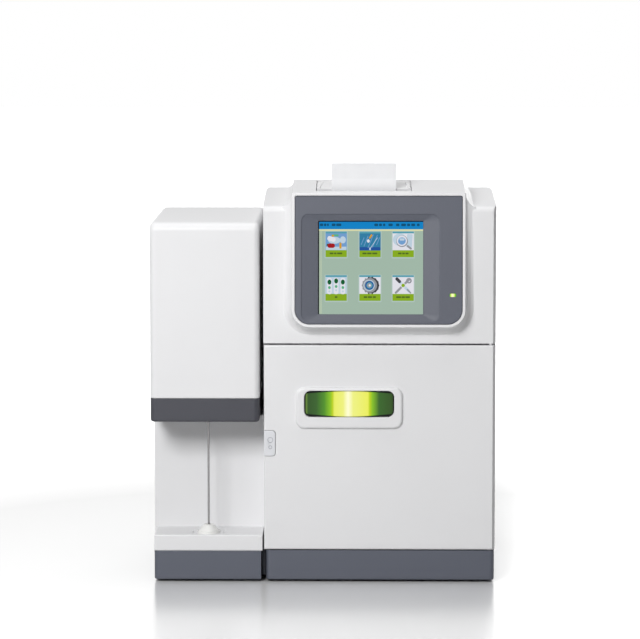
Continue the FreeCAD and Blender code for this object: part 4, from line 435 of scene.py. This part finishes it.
FINISHES = {
    case_plastic: ["upper_shell", "lower_casing", "sampler_head", "printer_tub"],
    door_plastic: ["front_door"],
    column_plastic: ["sampler_column"],
    tray_plastic: ["sampler_tray"],
    key_plastic: ["latch_key"],
    lid_plastic: ["printer_lid"],
    cup_plastic: ["wash_cup"],
    base_plastic: ["base_pan", "sampler_base"],
    trim_plastic: ["head_trim"],
    bezel_plastic: ["bezel"],
    frame_plastic: ["inner_frame"],
    holder_plastic: ["electrode_holder", "print_head"],
    electrode_plastic: ["electrode_1", "electrode_2", "electrode_3", "electrode_4", "electrode_5"],
    pump_plastic: ["pump_body"],
    rotor_plastic: ["pump_rotor"],
    roller_plastic: ["pump_roller_1", "pump_roller_2", "pump_roller_3"],
    tube_silicone: ["pump_tube"],
    valve_plastic: ["valve_block"],
    black_plastic: ["power_inlet", "fan_frame", "fan_rotor"],
    rocker_plastic: ["rocker_switch"],
    carriage_plastic: ["needle_carriage"],
    foot_rubber: ["feet"],
    platen_rubber: ["platen_roller"],
    magnet_ferrite: ["door_magnet"],
    panel_paint: ["rear_panel"],
    drawn_steel: ["guide_rod_left", "guide_rod_right", "lead_screw", "hinge_pins", "panel_screws"],
    needle_steel: ["needle"],
    motor_steel: ["pump_motor", "lift_motor"],
    port_steel: ["serial_port"],
    sheet_aluminium: ["drive_frame", "power_supply"],
    board_green: ["display_board", "lamp_board", "main_board"],
    window_green: ["window_lens"],
    lamp_glow: ["lamp_lens"],
    screen_glass: ["touch_panel", "lcd_panel"],
    paper_white: ["thermal_paper"],
    carton_card: ["reagent_pack"],
}
for material, names in FINISHES.items():
    for name in names:
        for slot in NODES[name].material_slots:
            slot.material = material


# Display picture: a ground, a title bar and six buttons, made of thin plates on the display's cover

GLASS_MARGIN = 4 * MM
GLASS_LOW_MARGIN = 3 * MM
PICTURE_WIDTH = glass_high.x - glass_low.x - 2 * GLASS_MARGIN
PICTURE_HEIGHT = 83.3 * MM
PICTURE = SCREEN @ Matrix.Translation((GLASS_MARGIN, 0, GLASS_LOW_MARGIN))
LAYER = 0.06 * MM


def start_piece(name):
    """name the primitive that was just added"""
    piece = bpy.context.object
    piece.name = name
    piece.data.name = name
    return piece


def settle(piece, matrix, material, body="analyzer"):
    """move a finished piece to its place, with the place kept in its mesh, and hang it on its body"""
    piece.data.transform(piece.matrix_world)
    piece.matrix_world = Matrix.Identity(4)
    piece.data.transform(matrix)
    piece.data.materials.clear()
    piece.data.materials.append(material)
    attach(piece, body)
    return piece


def picture_plate(name, material, x, z, width, height, corner, layer, turn=0):
    """a flat plate with round corners: its middle in millimetres from the picture's lower left corner"""
    bpy.ops.object.select_all(action="DESELECT")
    bpy.ops.mesh.primitive_cube_add(size=1, location=(x * MM, -(layer - 0.5) * LAYER, z * MM),
                                    rotation=(0, math.radians(turn), 0))
    piece = start_piece(name)
    piece.scale = (width * MM, LAYER, height * MM)
    bpy.ops.object.transform_apply(location=False, rotation=True, scale=True)
    bpy.ops.object.mode_set(mode="EDIT")
    bpy.ops.mesh.select_mode(type="EDGE")
    bpy.ops.mesh.select_all(action="DESELECT")
    bpy.ops.object.mode_set(mode="OBJECT")
    for edge in piece.data.edges:
        ends = [piece.data.vertices[index].co for index in edge.vertices]
        edge.select = abs(ends[0].y - ends[1].y) > LAYER / 2
    bpy.ops.object.mode_set(mode="EDIT")
    bpy.ops.mesh.bevel(offset=corner * MM, segments=5)
    bpy.ops.object.mode_set(mode="OBJECT")
    return settle(piece, PICTURE, material)


def round_plate(name, sides, spot, radius, hole, thickness):
    """an upright round plate with its back at a spot, with a hole where it is a ring; all in metres"""
    bpy.ops.object.select_all(action="DESELECT")
    bpy.ops.mesh.primitive_circle_add(vertices=sides, radius=radius, fill_type="NGON", location=spot,
                                      rotation=(UPRIGHT, 0, 0))
    piece = start_piece(name)
    bpy.ops.object.mode_set(mode="EDIT")
    bpy.ops.mesh.select_all(action="SELECT")
    if hole:
        bpy.ops.mesh.inset(thickness=radius - hole)
        bpy.ops.mesh.delete(type="FACE")
        bpy.ops.mesh.select_all(action="SELECT")
    bpy.ops.mesh.extrude_region_move(TRANSFORM_OT_translate={"value": (0, -thickness, 0)})
    bpy.ops.mesh.select_all(action="SELECT")
    bpy.ops.mesh.normals_make_consistent(inside=False)
    bpy.ops.object.mode_set(mode="OBJECT")
    return piece


def picture_disc(name, material, x, z, radius, layer, squash=1.0, hole=0.0):
    """a round or oval plate of the picture, in millimetres as a plate is"""
    spot = (x * MM, -(layer - 1) * LAYER, z * MM)
    piece = round_plate(name, 40, spot, radius * MM, hole * MM, LAYER)
    piece.scale = (1, squash, 1)
    bpy.ops.object.transform_apply(location=False, rotation=True, scale=True)
    return settle(piece, PICTURE, material)


ground_ink = display_ink("ground_ink", (0.352, 0.472, 0.385))
upper_ink = display_ink("upper_ink", (0.52, 0.60, 0.42))
cream_ink = display_ink("cream_ink", (0.68, 0.70, 0.41))
title_ink = display_ink("title_ink", (0.0, 0.215, 0.55))
mark_ink = display_ink("mark_ink", (0.0, 0.075, 0.17))
label_ink = display_ink("label_ink", (0.235, 0.40, 0.008))
label_mark_ink = display_ink("label_mark_ink", (0.075, 0.14, 0.012))
rim_ink = display_ink("rim_ink", (0.42, 0.54, 0.50))
strip_ink = display_ink("strip_ink", (0.085, 0.33, 0.42))
pale_ink = display_ink("pale_ink", (0.74, 0.74, 0.80))
mist_ink = display_ink("mist_ink", (0.50, 0.62, 0.72))
sky_ink = display_ink("sky_ink", (0.16, 0.33, 0.60))
sea_ink = display_ink("sea_ink", (0.028, 0.20, 0.36))
deep_ink = display_ink("deep_ink", (0.012, 0.08, 0.32))
grey_ink = display_ink("grey_ink", (0.28, 0.29, 0.32))
dark_ink = display_ink("dark_ink", (0.045, 0.048, 0.058))
leaf_ink = display_ink("leaf_ink", (0.0, 0.10, 0.025))
mint_ink = display_ink("mint_ink", (0.10, 0.42, 0.22))
red_ink = display_ink("red_ink", (0.36, 0.004, 0.008))
amber_ink = display_ink("amber_ink", (0.66, 0.32, 0.012))
shadow_line_ink = display_ink("shadow_line_ink", (0.0, 0.0, 0.0))

# Millimetres of the picture. Layers count outward: the painted shadow line along the top and left 1, the
# ground 2, bars and button rims 3, fields and labels 4, and the drawings and dashes from 4 up.
TITLE_HEIGHT = 7.4
BUTTON_WIDTH = 19.0
BUTTON_HEIGHT = 22.8
LABEL_HEIGHT = 6.2
STRIP_HEIGHT = 1.6
DASH_HEIGHT = 1.5
TITLE_DASH_HEIGHT = 2.3
BUTTON_COLUMNS = (16.0, 46.2, 75.8)
BUTTON_ROWS = (62.4, 23.4)
ACROSS = PICTURE_WIDTH / MM
UPWARD = PICTURE_HEIGHT / MM
# the picture is moved in from the left and top by this much, leaving the painted shadow line showing
INSET = 0.8
SHADOW_LINE_SHIFT = 0.5
MIDDLE = ACROSS / 2 + INSET / 2

# a black plate shifted up and left so that it shows along the top and left edges: a painted shadow of the
# recess wall
picture_plate("picture_shadow_line", shadow_line_ink, ACROSS / 2 - SHADOW_LINE_SHIFT, UPWARD / 2 + SHADOW_LINE_SHIFT,
              ACROSS + INSET, UPWARD + INSET, 1.0, 1)
picture_plate("picture_ground", ground_ink, MIDDLE, UPWARD / 2 - INSET / 2, ACROSS - INSET, UPWARD - INSET,
              0.6, 2)
for step in range(3):
    picture_plate("ground_glow%d" % step, upper_ink, 1.4 + 0.8 * step, UPWARD / 2 - 3.5, 0.35, UPWARD - 8,
                  0.1, 3)
picture_plate("title_bar", title_ink, MIDDLE, UPWARD - TITLE_HEIGHT / 2 - INSET / 2, ACROSS - INSET,
              TITLE_HEIGHT - INSET, 0.5, 3)
picture_plate("title_line", cream_ink, MIDDLE, UPWARD - TITLE_HEIGHT - INSET, ACROSS - 0.6, 1.5, 0.2, 3)


def button(name, column, row, backing, dashes):
    """one button: rim, field with its upper strip, and label bar with dashes; gives the drawing's middle"""
    x, z = BUTTON_COLUMNS[column], BUTTON_ROWS[row]
    picture_plate(name + "_rim", rim_ink, x, z - 0.3, BUTTON_WIDTH + 1.6, BUTTON_HEIGHT + 1.8, 0.8, 3)
    field_height = BUTTON_HEIGHT - LABEL_HEIGHT
    field_middle = z + BUTTON_HEIGHT / 2 - field_height / 2
    picture_plate(name + "_field", backing, x, field_middle, BUTTON_WIDTH, field_height, 0.3, 4)
    strip_middle = z + BUTTON_HEIGHT / 2 - STRIP_HEIGHT / 2
    picture_plate(name + "_strip", strip_ink, x, strip_middle, BUTTON_WIDTH, STRIP_HEIGHT, 0.3, 5)
    label_middle = z - BUTTON_HEIGHT / 2 + LABEL_HEIGHT / 2
    picture_plate(name + "_label", label_ink, x, label_middle, BUTTON_WIDTH, LABEL_HEIGHT, 0.3, 4)
    for number, (start, length) in enumerate(dashes):
        picture_plate("%s_dash%d" % (name, number), label_mark_ink, x + start + length / 2,
                      label_middle + 0.2, length, DASH_HEIGHT, 0.5, 5)
    return x, field_middle - 0.7


x, z = button("sample_button", 0, 0, sky_ink, ((-5.8, 3.4), (-1.9, 2.2), (0.8, 4.6)))
picture_disc("sample_cloud", mist_ink, x - 1.6, z + 1.2, 5.6, 5, 0.55)
picture_plate("sample_dish", pale_ink, x - 4.2, z + 2.4, 7.4, 4.0, 1.6, 6, 18)
picture_plate("sample_leaf", mint_ink, x - 1.0, z + 5.6, 6.4, 1.8, 0.8, 6)
picture_plate("sample_sun", amber_ink, x - 3.0, z + 5.2, 2.2, 1.8, 0.8, 7)
picture_plate("sample_bench", mist_ink, x, z - 6.0, BUTTON_WIDTH - 0.8, 3.0, 0.3, 6)
picture_plate("sample_drop", red_ink, x - 4.4, z - 3.6, 6.6, 4.0, 1.9, 7)
picture_plate("sample_shadow", leaf_ink, x - 7.6, z - 3.0, 1.6, 2.2, 0.6, 6)
picture_plate("sample_vial", amber_ink, x + 3.8, z - 3.6, 2.0, 5.4, 0.8, 7)
picture_disc("sample_lens", mist_ink, x + 6.0, z + 1.6, 2.6, 6, 1.2)

x, z = button("drop_button", 1, 0, sea_ink, ((-6.8, 3.8), (-2.6, 4.0), (1.9, 4.6)))
picture_plate("drop_depth", deep_ink, x, z - 6.4, BUTTON_WIDTH - 0.4, 3.0, 0.3, 5)
for step, (offset, length) in enumerate(((-6.6, 7.0), (-3.6, 10.0), (0.6, 13.0), (4.4, 12.0), (7.2, 7.5))):
    picture_plate("drop_ray%d" % step, sky_ink, x + offset, z + 0.4, 0.6, length, 0.2, 6, 22)
picture_plate("drop_glint", mist_ink, x + 3.6, z - 1.0, 0.5, 11.0, 0.2, 7, 34)
picture_plate("drop_tail", amber_ink, x + 0.6, z + 4.6, 1.5, 4.4, 0.7, 8, 32)
picture_disc("drop_bead", pale_ink, x - 1.5, z + 0.6, 1.25, 8, 1.2)
picture_plate("drop_splash", mist_ink, x, z - 6.4, 1.4, 2.4, 0.6, 8)

x, z = button("search_button", 2, 0, pale_ink, ((-4.6, 3.2), (-0.9, 2.4), (2.0, 2.8)))
picture_plate("search_page", mist_ink, x + 5.6, z + 0.8, 5.0, 12.0, 0.8, 5, 4)
picture_disc("search_cloud", mist_ink, x - 3.0, z + 1.8, 6.2, 5, 0.9)
picture_disc("search_ring", grey_ink, x - 1.0, z + 0.4, 5.2, 6, 1.0, 4.0)
picture_disc("search_shine", pale_ink, x - 1.2, z + 0.8, 4.6, 7, 1.0, 3.5)
picture_disc("search_glass", sky_ink, x - 1.0, z + 0.2, 3.5, 6)
picture_plate("search_gleam", mist_ink, x - 1.0, z + 2.0, 4.4, 2.0, 0.9, 7)
picture_plate("search_grip", grey_ink, x + 5.4, z - 5.0, 1.8, 5.4, 0.8, 7, -52)

x, z = button("vials_button", 0, 1, mist_ink, ((-1.2, 2.4),))
for step in (-1, 0, 1):
    rise = 1.0 - abs(step)
    picture_plate("vial_glass%d" % (step + 1), pale_ink, x + 6.0 * step, z - 0.6, 4.2, 14.6, 1.6, 5)
    picture_disc("vial_cap%d" % (step + 1), leaf_ink, x + 6.0 * step, z + 2.9 + rise, 1.75, 6, 1.3)
    picture_disc("vial_fill%d" % (step + 1), mint_ink, x + 6.0 * step, z - 2.0 + rise, 1.2, 6, 1.1)
    picture_disc("vial_foot%d" % (step + 1), mist_ink, x + 6.0 * step, z - 5.4 + rise, 0.9, 6)

x, z = button("dial_button", 1, 1, pale_ink, ((-5.6, 3.2), (-1.9, 3.8), (2.5, 2.8)))
picture_disc("dial_rim", dark_ink, x + 0.9, z, 7.2, 5, 1.0, 5.0)
picture_disc("dial_ring", grey_ink, x - 0.3, z, 6.6, 6, 1.0, 4.0)
DIAL_TEETH = 14
TOOTH_RING = 7.1
for step in range(DIAL_TEETH):
    angle = math.radians(360 / DIAL_TEETH * step)
    tooth_ink = dark_ink if math.cos(angle) > -0.3 else grey_ink
    picture_plate("dial_tooth%d" % step, tooth_ink, x + 0.5 + TOOTH_RING * math.cos(angle),
                  z + TOOTH_RING * math.sin(angle), 1.4, 1.5, 0.4, 6, -math.degrees(angle))
picture_disc("dial_shine", mist_ink, x - 0.8, z, 5.0, 7, 1.0, 4.3)
picture_disc("dial_face", strip_ink, x - 0.4, z, 4.1, 6)
picture_disc("dial_band", deep_ink, x - 0.4, z, 3.9, 7, 1.0, 2.8)
picture_disc("dial_hub", grey_ink, x - 0.6, z, 2.0, 8)
picture_disc("dial_spot", pale_ink, x - 0.2, z, 1.0, 9)

x, z = button("tools_button", 2, 1, pale_ink, ((-6.2, 4.4), (-1.4, 3.0), (2.0, 4.0)))
picture_plate("tool_arm_up", grey_ink, x, z, 2.0, 17.0, 0.9, 5, 45)
picture_plate("tool_arm_down", mist_ink, x, z, 2.4, 17.0, 0.9, 5, -45)
picture_plate("tool_grip", dark_ink, x - 4.4, z + 4.6, 2.8, 6.0, 1.2, 6, -45)
picture_plate("tool_blade", grey_ink, x - 4.8, z - 4.8, 1.9, 6.6, 0.8, 6, 45)
picture_disc("tool_head", grey_ink, x + 5.2, z + 4.2, 2.5, 6, 1.0, 1.2)
picture_plate("tool_tail", grey_ink, x + 5.2, z - 5.2, 1.2, 5.2, 0.5, 6, -45)
picture_disc("tool_shine", pale_ink, x, z, 2.2, 6)
picture_disc("tool_pin", label_ink, x, z, 1.6, 7)

# Left end and length of each dash
TITLE_DASHES = ((1.4, 3.0), (5.0, 2.2), (7.8, 1.6), (12.0, 3.4), (16.0, 4.6), (50.0, 3.4), (54.2, 2.6),
                (57.8, 2.0), (62.6, 3.8), (69.4, 3.0), (74.0, 4.2), (79.2, 2.8), (83.0, 3.4), (88.0, 2.4))
for step, (left, length) in enumerate(TITLE_DASHES):
    picture_plate("title_mark%d" % step, mark_ink, left + length / 2, UPWARD - TITLE_HEIGHT / 2 + 0.2,
                  length, TITLE_DASH_HEIGHT, 0.8, 4)


# Small pieces that the photograph shows beside the large mouldings

def shaped_block(name, low, high, material, body, bevel):
    """a moulded block between two corners with rounded edges"""
    bpy.ops.object.select_all(action="DESELECT")
    bpy.ops.mesh.primitive_cube_add(size=1, location=(Vector(low) + Vector(high)) / 2)
    block = start_piece(name)
    block.scale = Vector(high) - Vector(low)
    bpy.ops.object.transform_apply(location=False, rotation=False, scale=True)
    bpy.ops.object.mode_set(mode="EDIT")
    bpy.ops.mesh.select_all(action="SELECT")
    bpy.ops.mesh.bevel(offset=bevel, segments=3)
    bpy.ops.object.mode_set(mode="OBJECT")
    bpy.ops.object.shade_smooth_by_angle(angle=math.radians(40))
    return settle(block, Matrix.Identity(4), material, body)


key_low, key_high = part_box("latch_key")
key_middle = (key_low + key_high) / 2
RING_SHIFT = 0.6 * MM
RING_THICKNESS = 0.05 * MM
KEY_FACE = Matrix.Translation((key_middle.x + RING_SHIFT, key_low.y, key_middle.z))
key_mark_ink = moulded_plastic("key_mark_ink", (0.46, 0.47, 0.51), 0.5, grain=1200.0, depth=0.000004)


def key_ring(name, height, radius, hole):
    """a fine printed ring on the face of the door key"""
    ring = round_plate(name, 36, (0, 0, height), radius, hole, RING_THICKNESS)
    return settle(ring, KEY_FACE, key_mark_ink, "latch")


key_ring("key_ring_upper", 3.2 * MM, 2.6 * MM, 2.0 * MM)
key_ring("key_ring_lower", -3.4 * MM, 1.7 * MM, 1.1 * MM)

left_base, right_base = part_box("sampler_base"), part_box("base_pan")
RIB_GAP = 0.2 * MM
RIB_END_INSET = 16 * MM
RIB_FOOT_INSET = 1.5 * MM
RIB_TOP_INSET = 0.5 * MM
RIB_ROUND = 0.8 * MM
rib_low = (left_base[1].x + RIB_GAP, left_base[0].y + RIB_END_INSET, left_base[0].z + RIB_FOOT_INSET)
rib_high = (right_base[0].x - RIB_GAP, left_base[1].y - RIB_END_INSET, left_base[1].z - RIB_TOP_INSET)
shaped_block("joining_rib", rib_low, rib_high, base_plastic, "analyzer", RIB_ROUND)


# Floor, light and camera, in metres and watts

AMBIENT = 0.11
FLOOR_SIZE = 40
FLOOR_BOUNCE = 0.5
FLOOR_WHITE = 1.25
FLOOR_GLOW = 2.0
GLOW_START = 0.45
GLOW_END = 1.1
MIRROR_ROUGHNESS = 0.2
MIRROR_SHARE = 0.64
LAMP_AIM = Vector((0, 0, 0.18))
# Name, place, side and power of each lamp
LAMPS = (("key_light", (-0.59, -1.55, 0.98), 0.56, 22.4), ("top_light", (-0.1, -0.3, 2.2), 1.3, 14.6),
         ("rear_light", (0.9, 2.2, 0.6), 1.2, 13.0))
CAMERA_PLACE = Vector((0.0313, FRONT - 2.595, 0.4828))
CAMERA_AIM = Vector((-0.0027, FRONT, 0.2384))
LENS_LENGTH = 163.6
SENSOR_WIDTH = 36


def straight_rays(nodes, links):
    """one for rays that come from the camera, straight or by way of a gloss or a clear piece"""
    rays = nodes.new("ShaderNodeLightPath").outputs
    first = reckoned(nodes, links, "MAXIMUM", rays["Is Camera Ray"], rays["Is Glossy Ray"])
    return reckoned(nodes, links, "MAXIMUM", first, rays["Is Transmission Ray"])


def studio_floor():
    """a polished white floor: it keeps the object's shadow, mirrors its foot and glows further out"""
    bpy.ops.object.select_all(action="DESELECT")
    bpy.ops.mesh.primitive_plane_add(size=FLOOR_SIZE, location=(0, 0, GROUND))
    floor = start_piece("floor")
    made, nodes, links, shader = finish("studio_white")
    nodes.remove(shader)
    out = nodes["Material Output"]
    card = nodes.new("ShaderNodeBsdfDiffuse")
    card.inputs["Color"].default_value = (FLOOR_BOUNCE, FLOOR_BOUNCE, FLOOR_BOUNCE, 1)
    bright_card = nodes.new("ShaderNodeBsdfDiffuse")
    bright_card.inputs["Color"].default_value = (FLOOR_WHITE, FLOOR_WHITE, FLOOR_WHITE, 1)
    place = nodes.new("ShaderNodeTexCoord")
    reach = nodes.new("ShaderNodeVectorMath")
    reach.operation = "LENGTH"
    glow = nodes.new("ShaderNodeEmission")
    links.new(place.outputs["Object"], reach.inputs[0])
    strength = ranged(nodes, links, reach.outputs["Value"], 0.0, FLOOR_GLOW, GLOW_START, GLOW_END)
    links.new(strength, glow.inputs["Strength"])
    both = nodes.new("ShaderNodeAddShader")
    mirror = nodes.new("ShaderNodeBsdfGlossy")
    mirror.inputs["Color"].default_value = (1.0, 1.0, 1.0, 1)
    mirror.inputs["Roughness"].default_value = MIRROR_ROUGHNESS
    polish = nodes.new("ShaderNodeMixShader")
    polish.inputs["Fac"].default_value = MIRROR_SHARE
    choose = nodes.new("ShaderNodeMixShader")
    links.new(bright_card.outputs["BSDF"], both.inputs[0])
    links.new(glow.outputs["Emission"], both.inputs[1])
    links.new(both.outputs["Shader"], polish.inputs[1])
    links.new(mirror.outputs["BSDF"], polish.inputs[2])
    links.new(straight_rays(nodes, links), choose.inputs["Fac"])
    links.new(card.outputs["BSDF"], choose.inputs[1])
    links.new(polish.outputs["Shader"], choose.inputs[2])
    links.new(choose.outputs["Shader"], out.inputs["Surface"])
    floor.data.materials.append(made)


def studio_world():
    """even faint light all round, seen as white"""
    world = bpy.data.worlds.new("studio")
    bpy.context.scene.world = world
    world.use_nodes = True
    nodes, links = world.node_tree.nodes, world.node_tree.links
    air = nodes["Background"]
    air.inputs["Color"].default_value = (1.0, 1.0, 1.0, 1)
    links.new(ranged(nodes, links, straight_rays(nodes, links), AMBIENT, 1.0), air.inputs["Strength"])


def soft_lamp(name, spot, size, power):
    """a square soft box that faces the middle of the object"""
    lamp = bpy.data.lights.new(name, "AREA")
    lamp.shape = "SQUARE"
    lamp.size = size
    lamp.energy = power
    holder = bpy.data.objects.new(name, lamp)
    bpy.context.scene.collection.objects.link(holder)
    holder.location = spot
    holder.rotation_euler = (LAMP_AIM - Vector(spot)).to_track_quat("-Z", "Y").to_euler()


def photo_camera():
    """the camera at the photograph's place: far off, a little above, square to the front"""
    lens = bpy.data.cameras.new("camera")
    lens.lens = LENS_LENGTH
    lens.sensor_width = SENSOR_WIDTH
    camera = bpy.data.objects.new("camera", lens)
    bpy.context.scene.collection.objects.link(camera)
    camera.location = CAMERA_PLACE
    camera.rotation_euler = (CAMERA_AIM - CAMERA_PLACE).to_track_quat("-Z", "Y").to_euler()
    bpy.context.scene.camera = camera


studio_floor()
studio_world()
for name, spot, size, power in LAMPS:
    soft_lamp(name, spot, size, power)
photo_camera()
bpy.context.scene.view_settings.view_transform = "Standard"
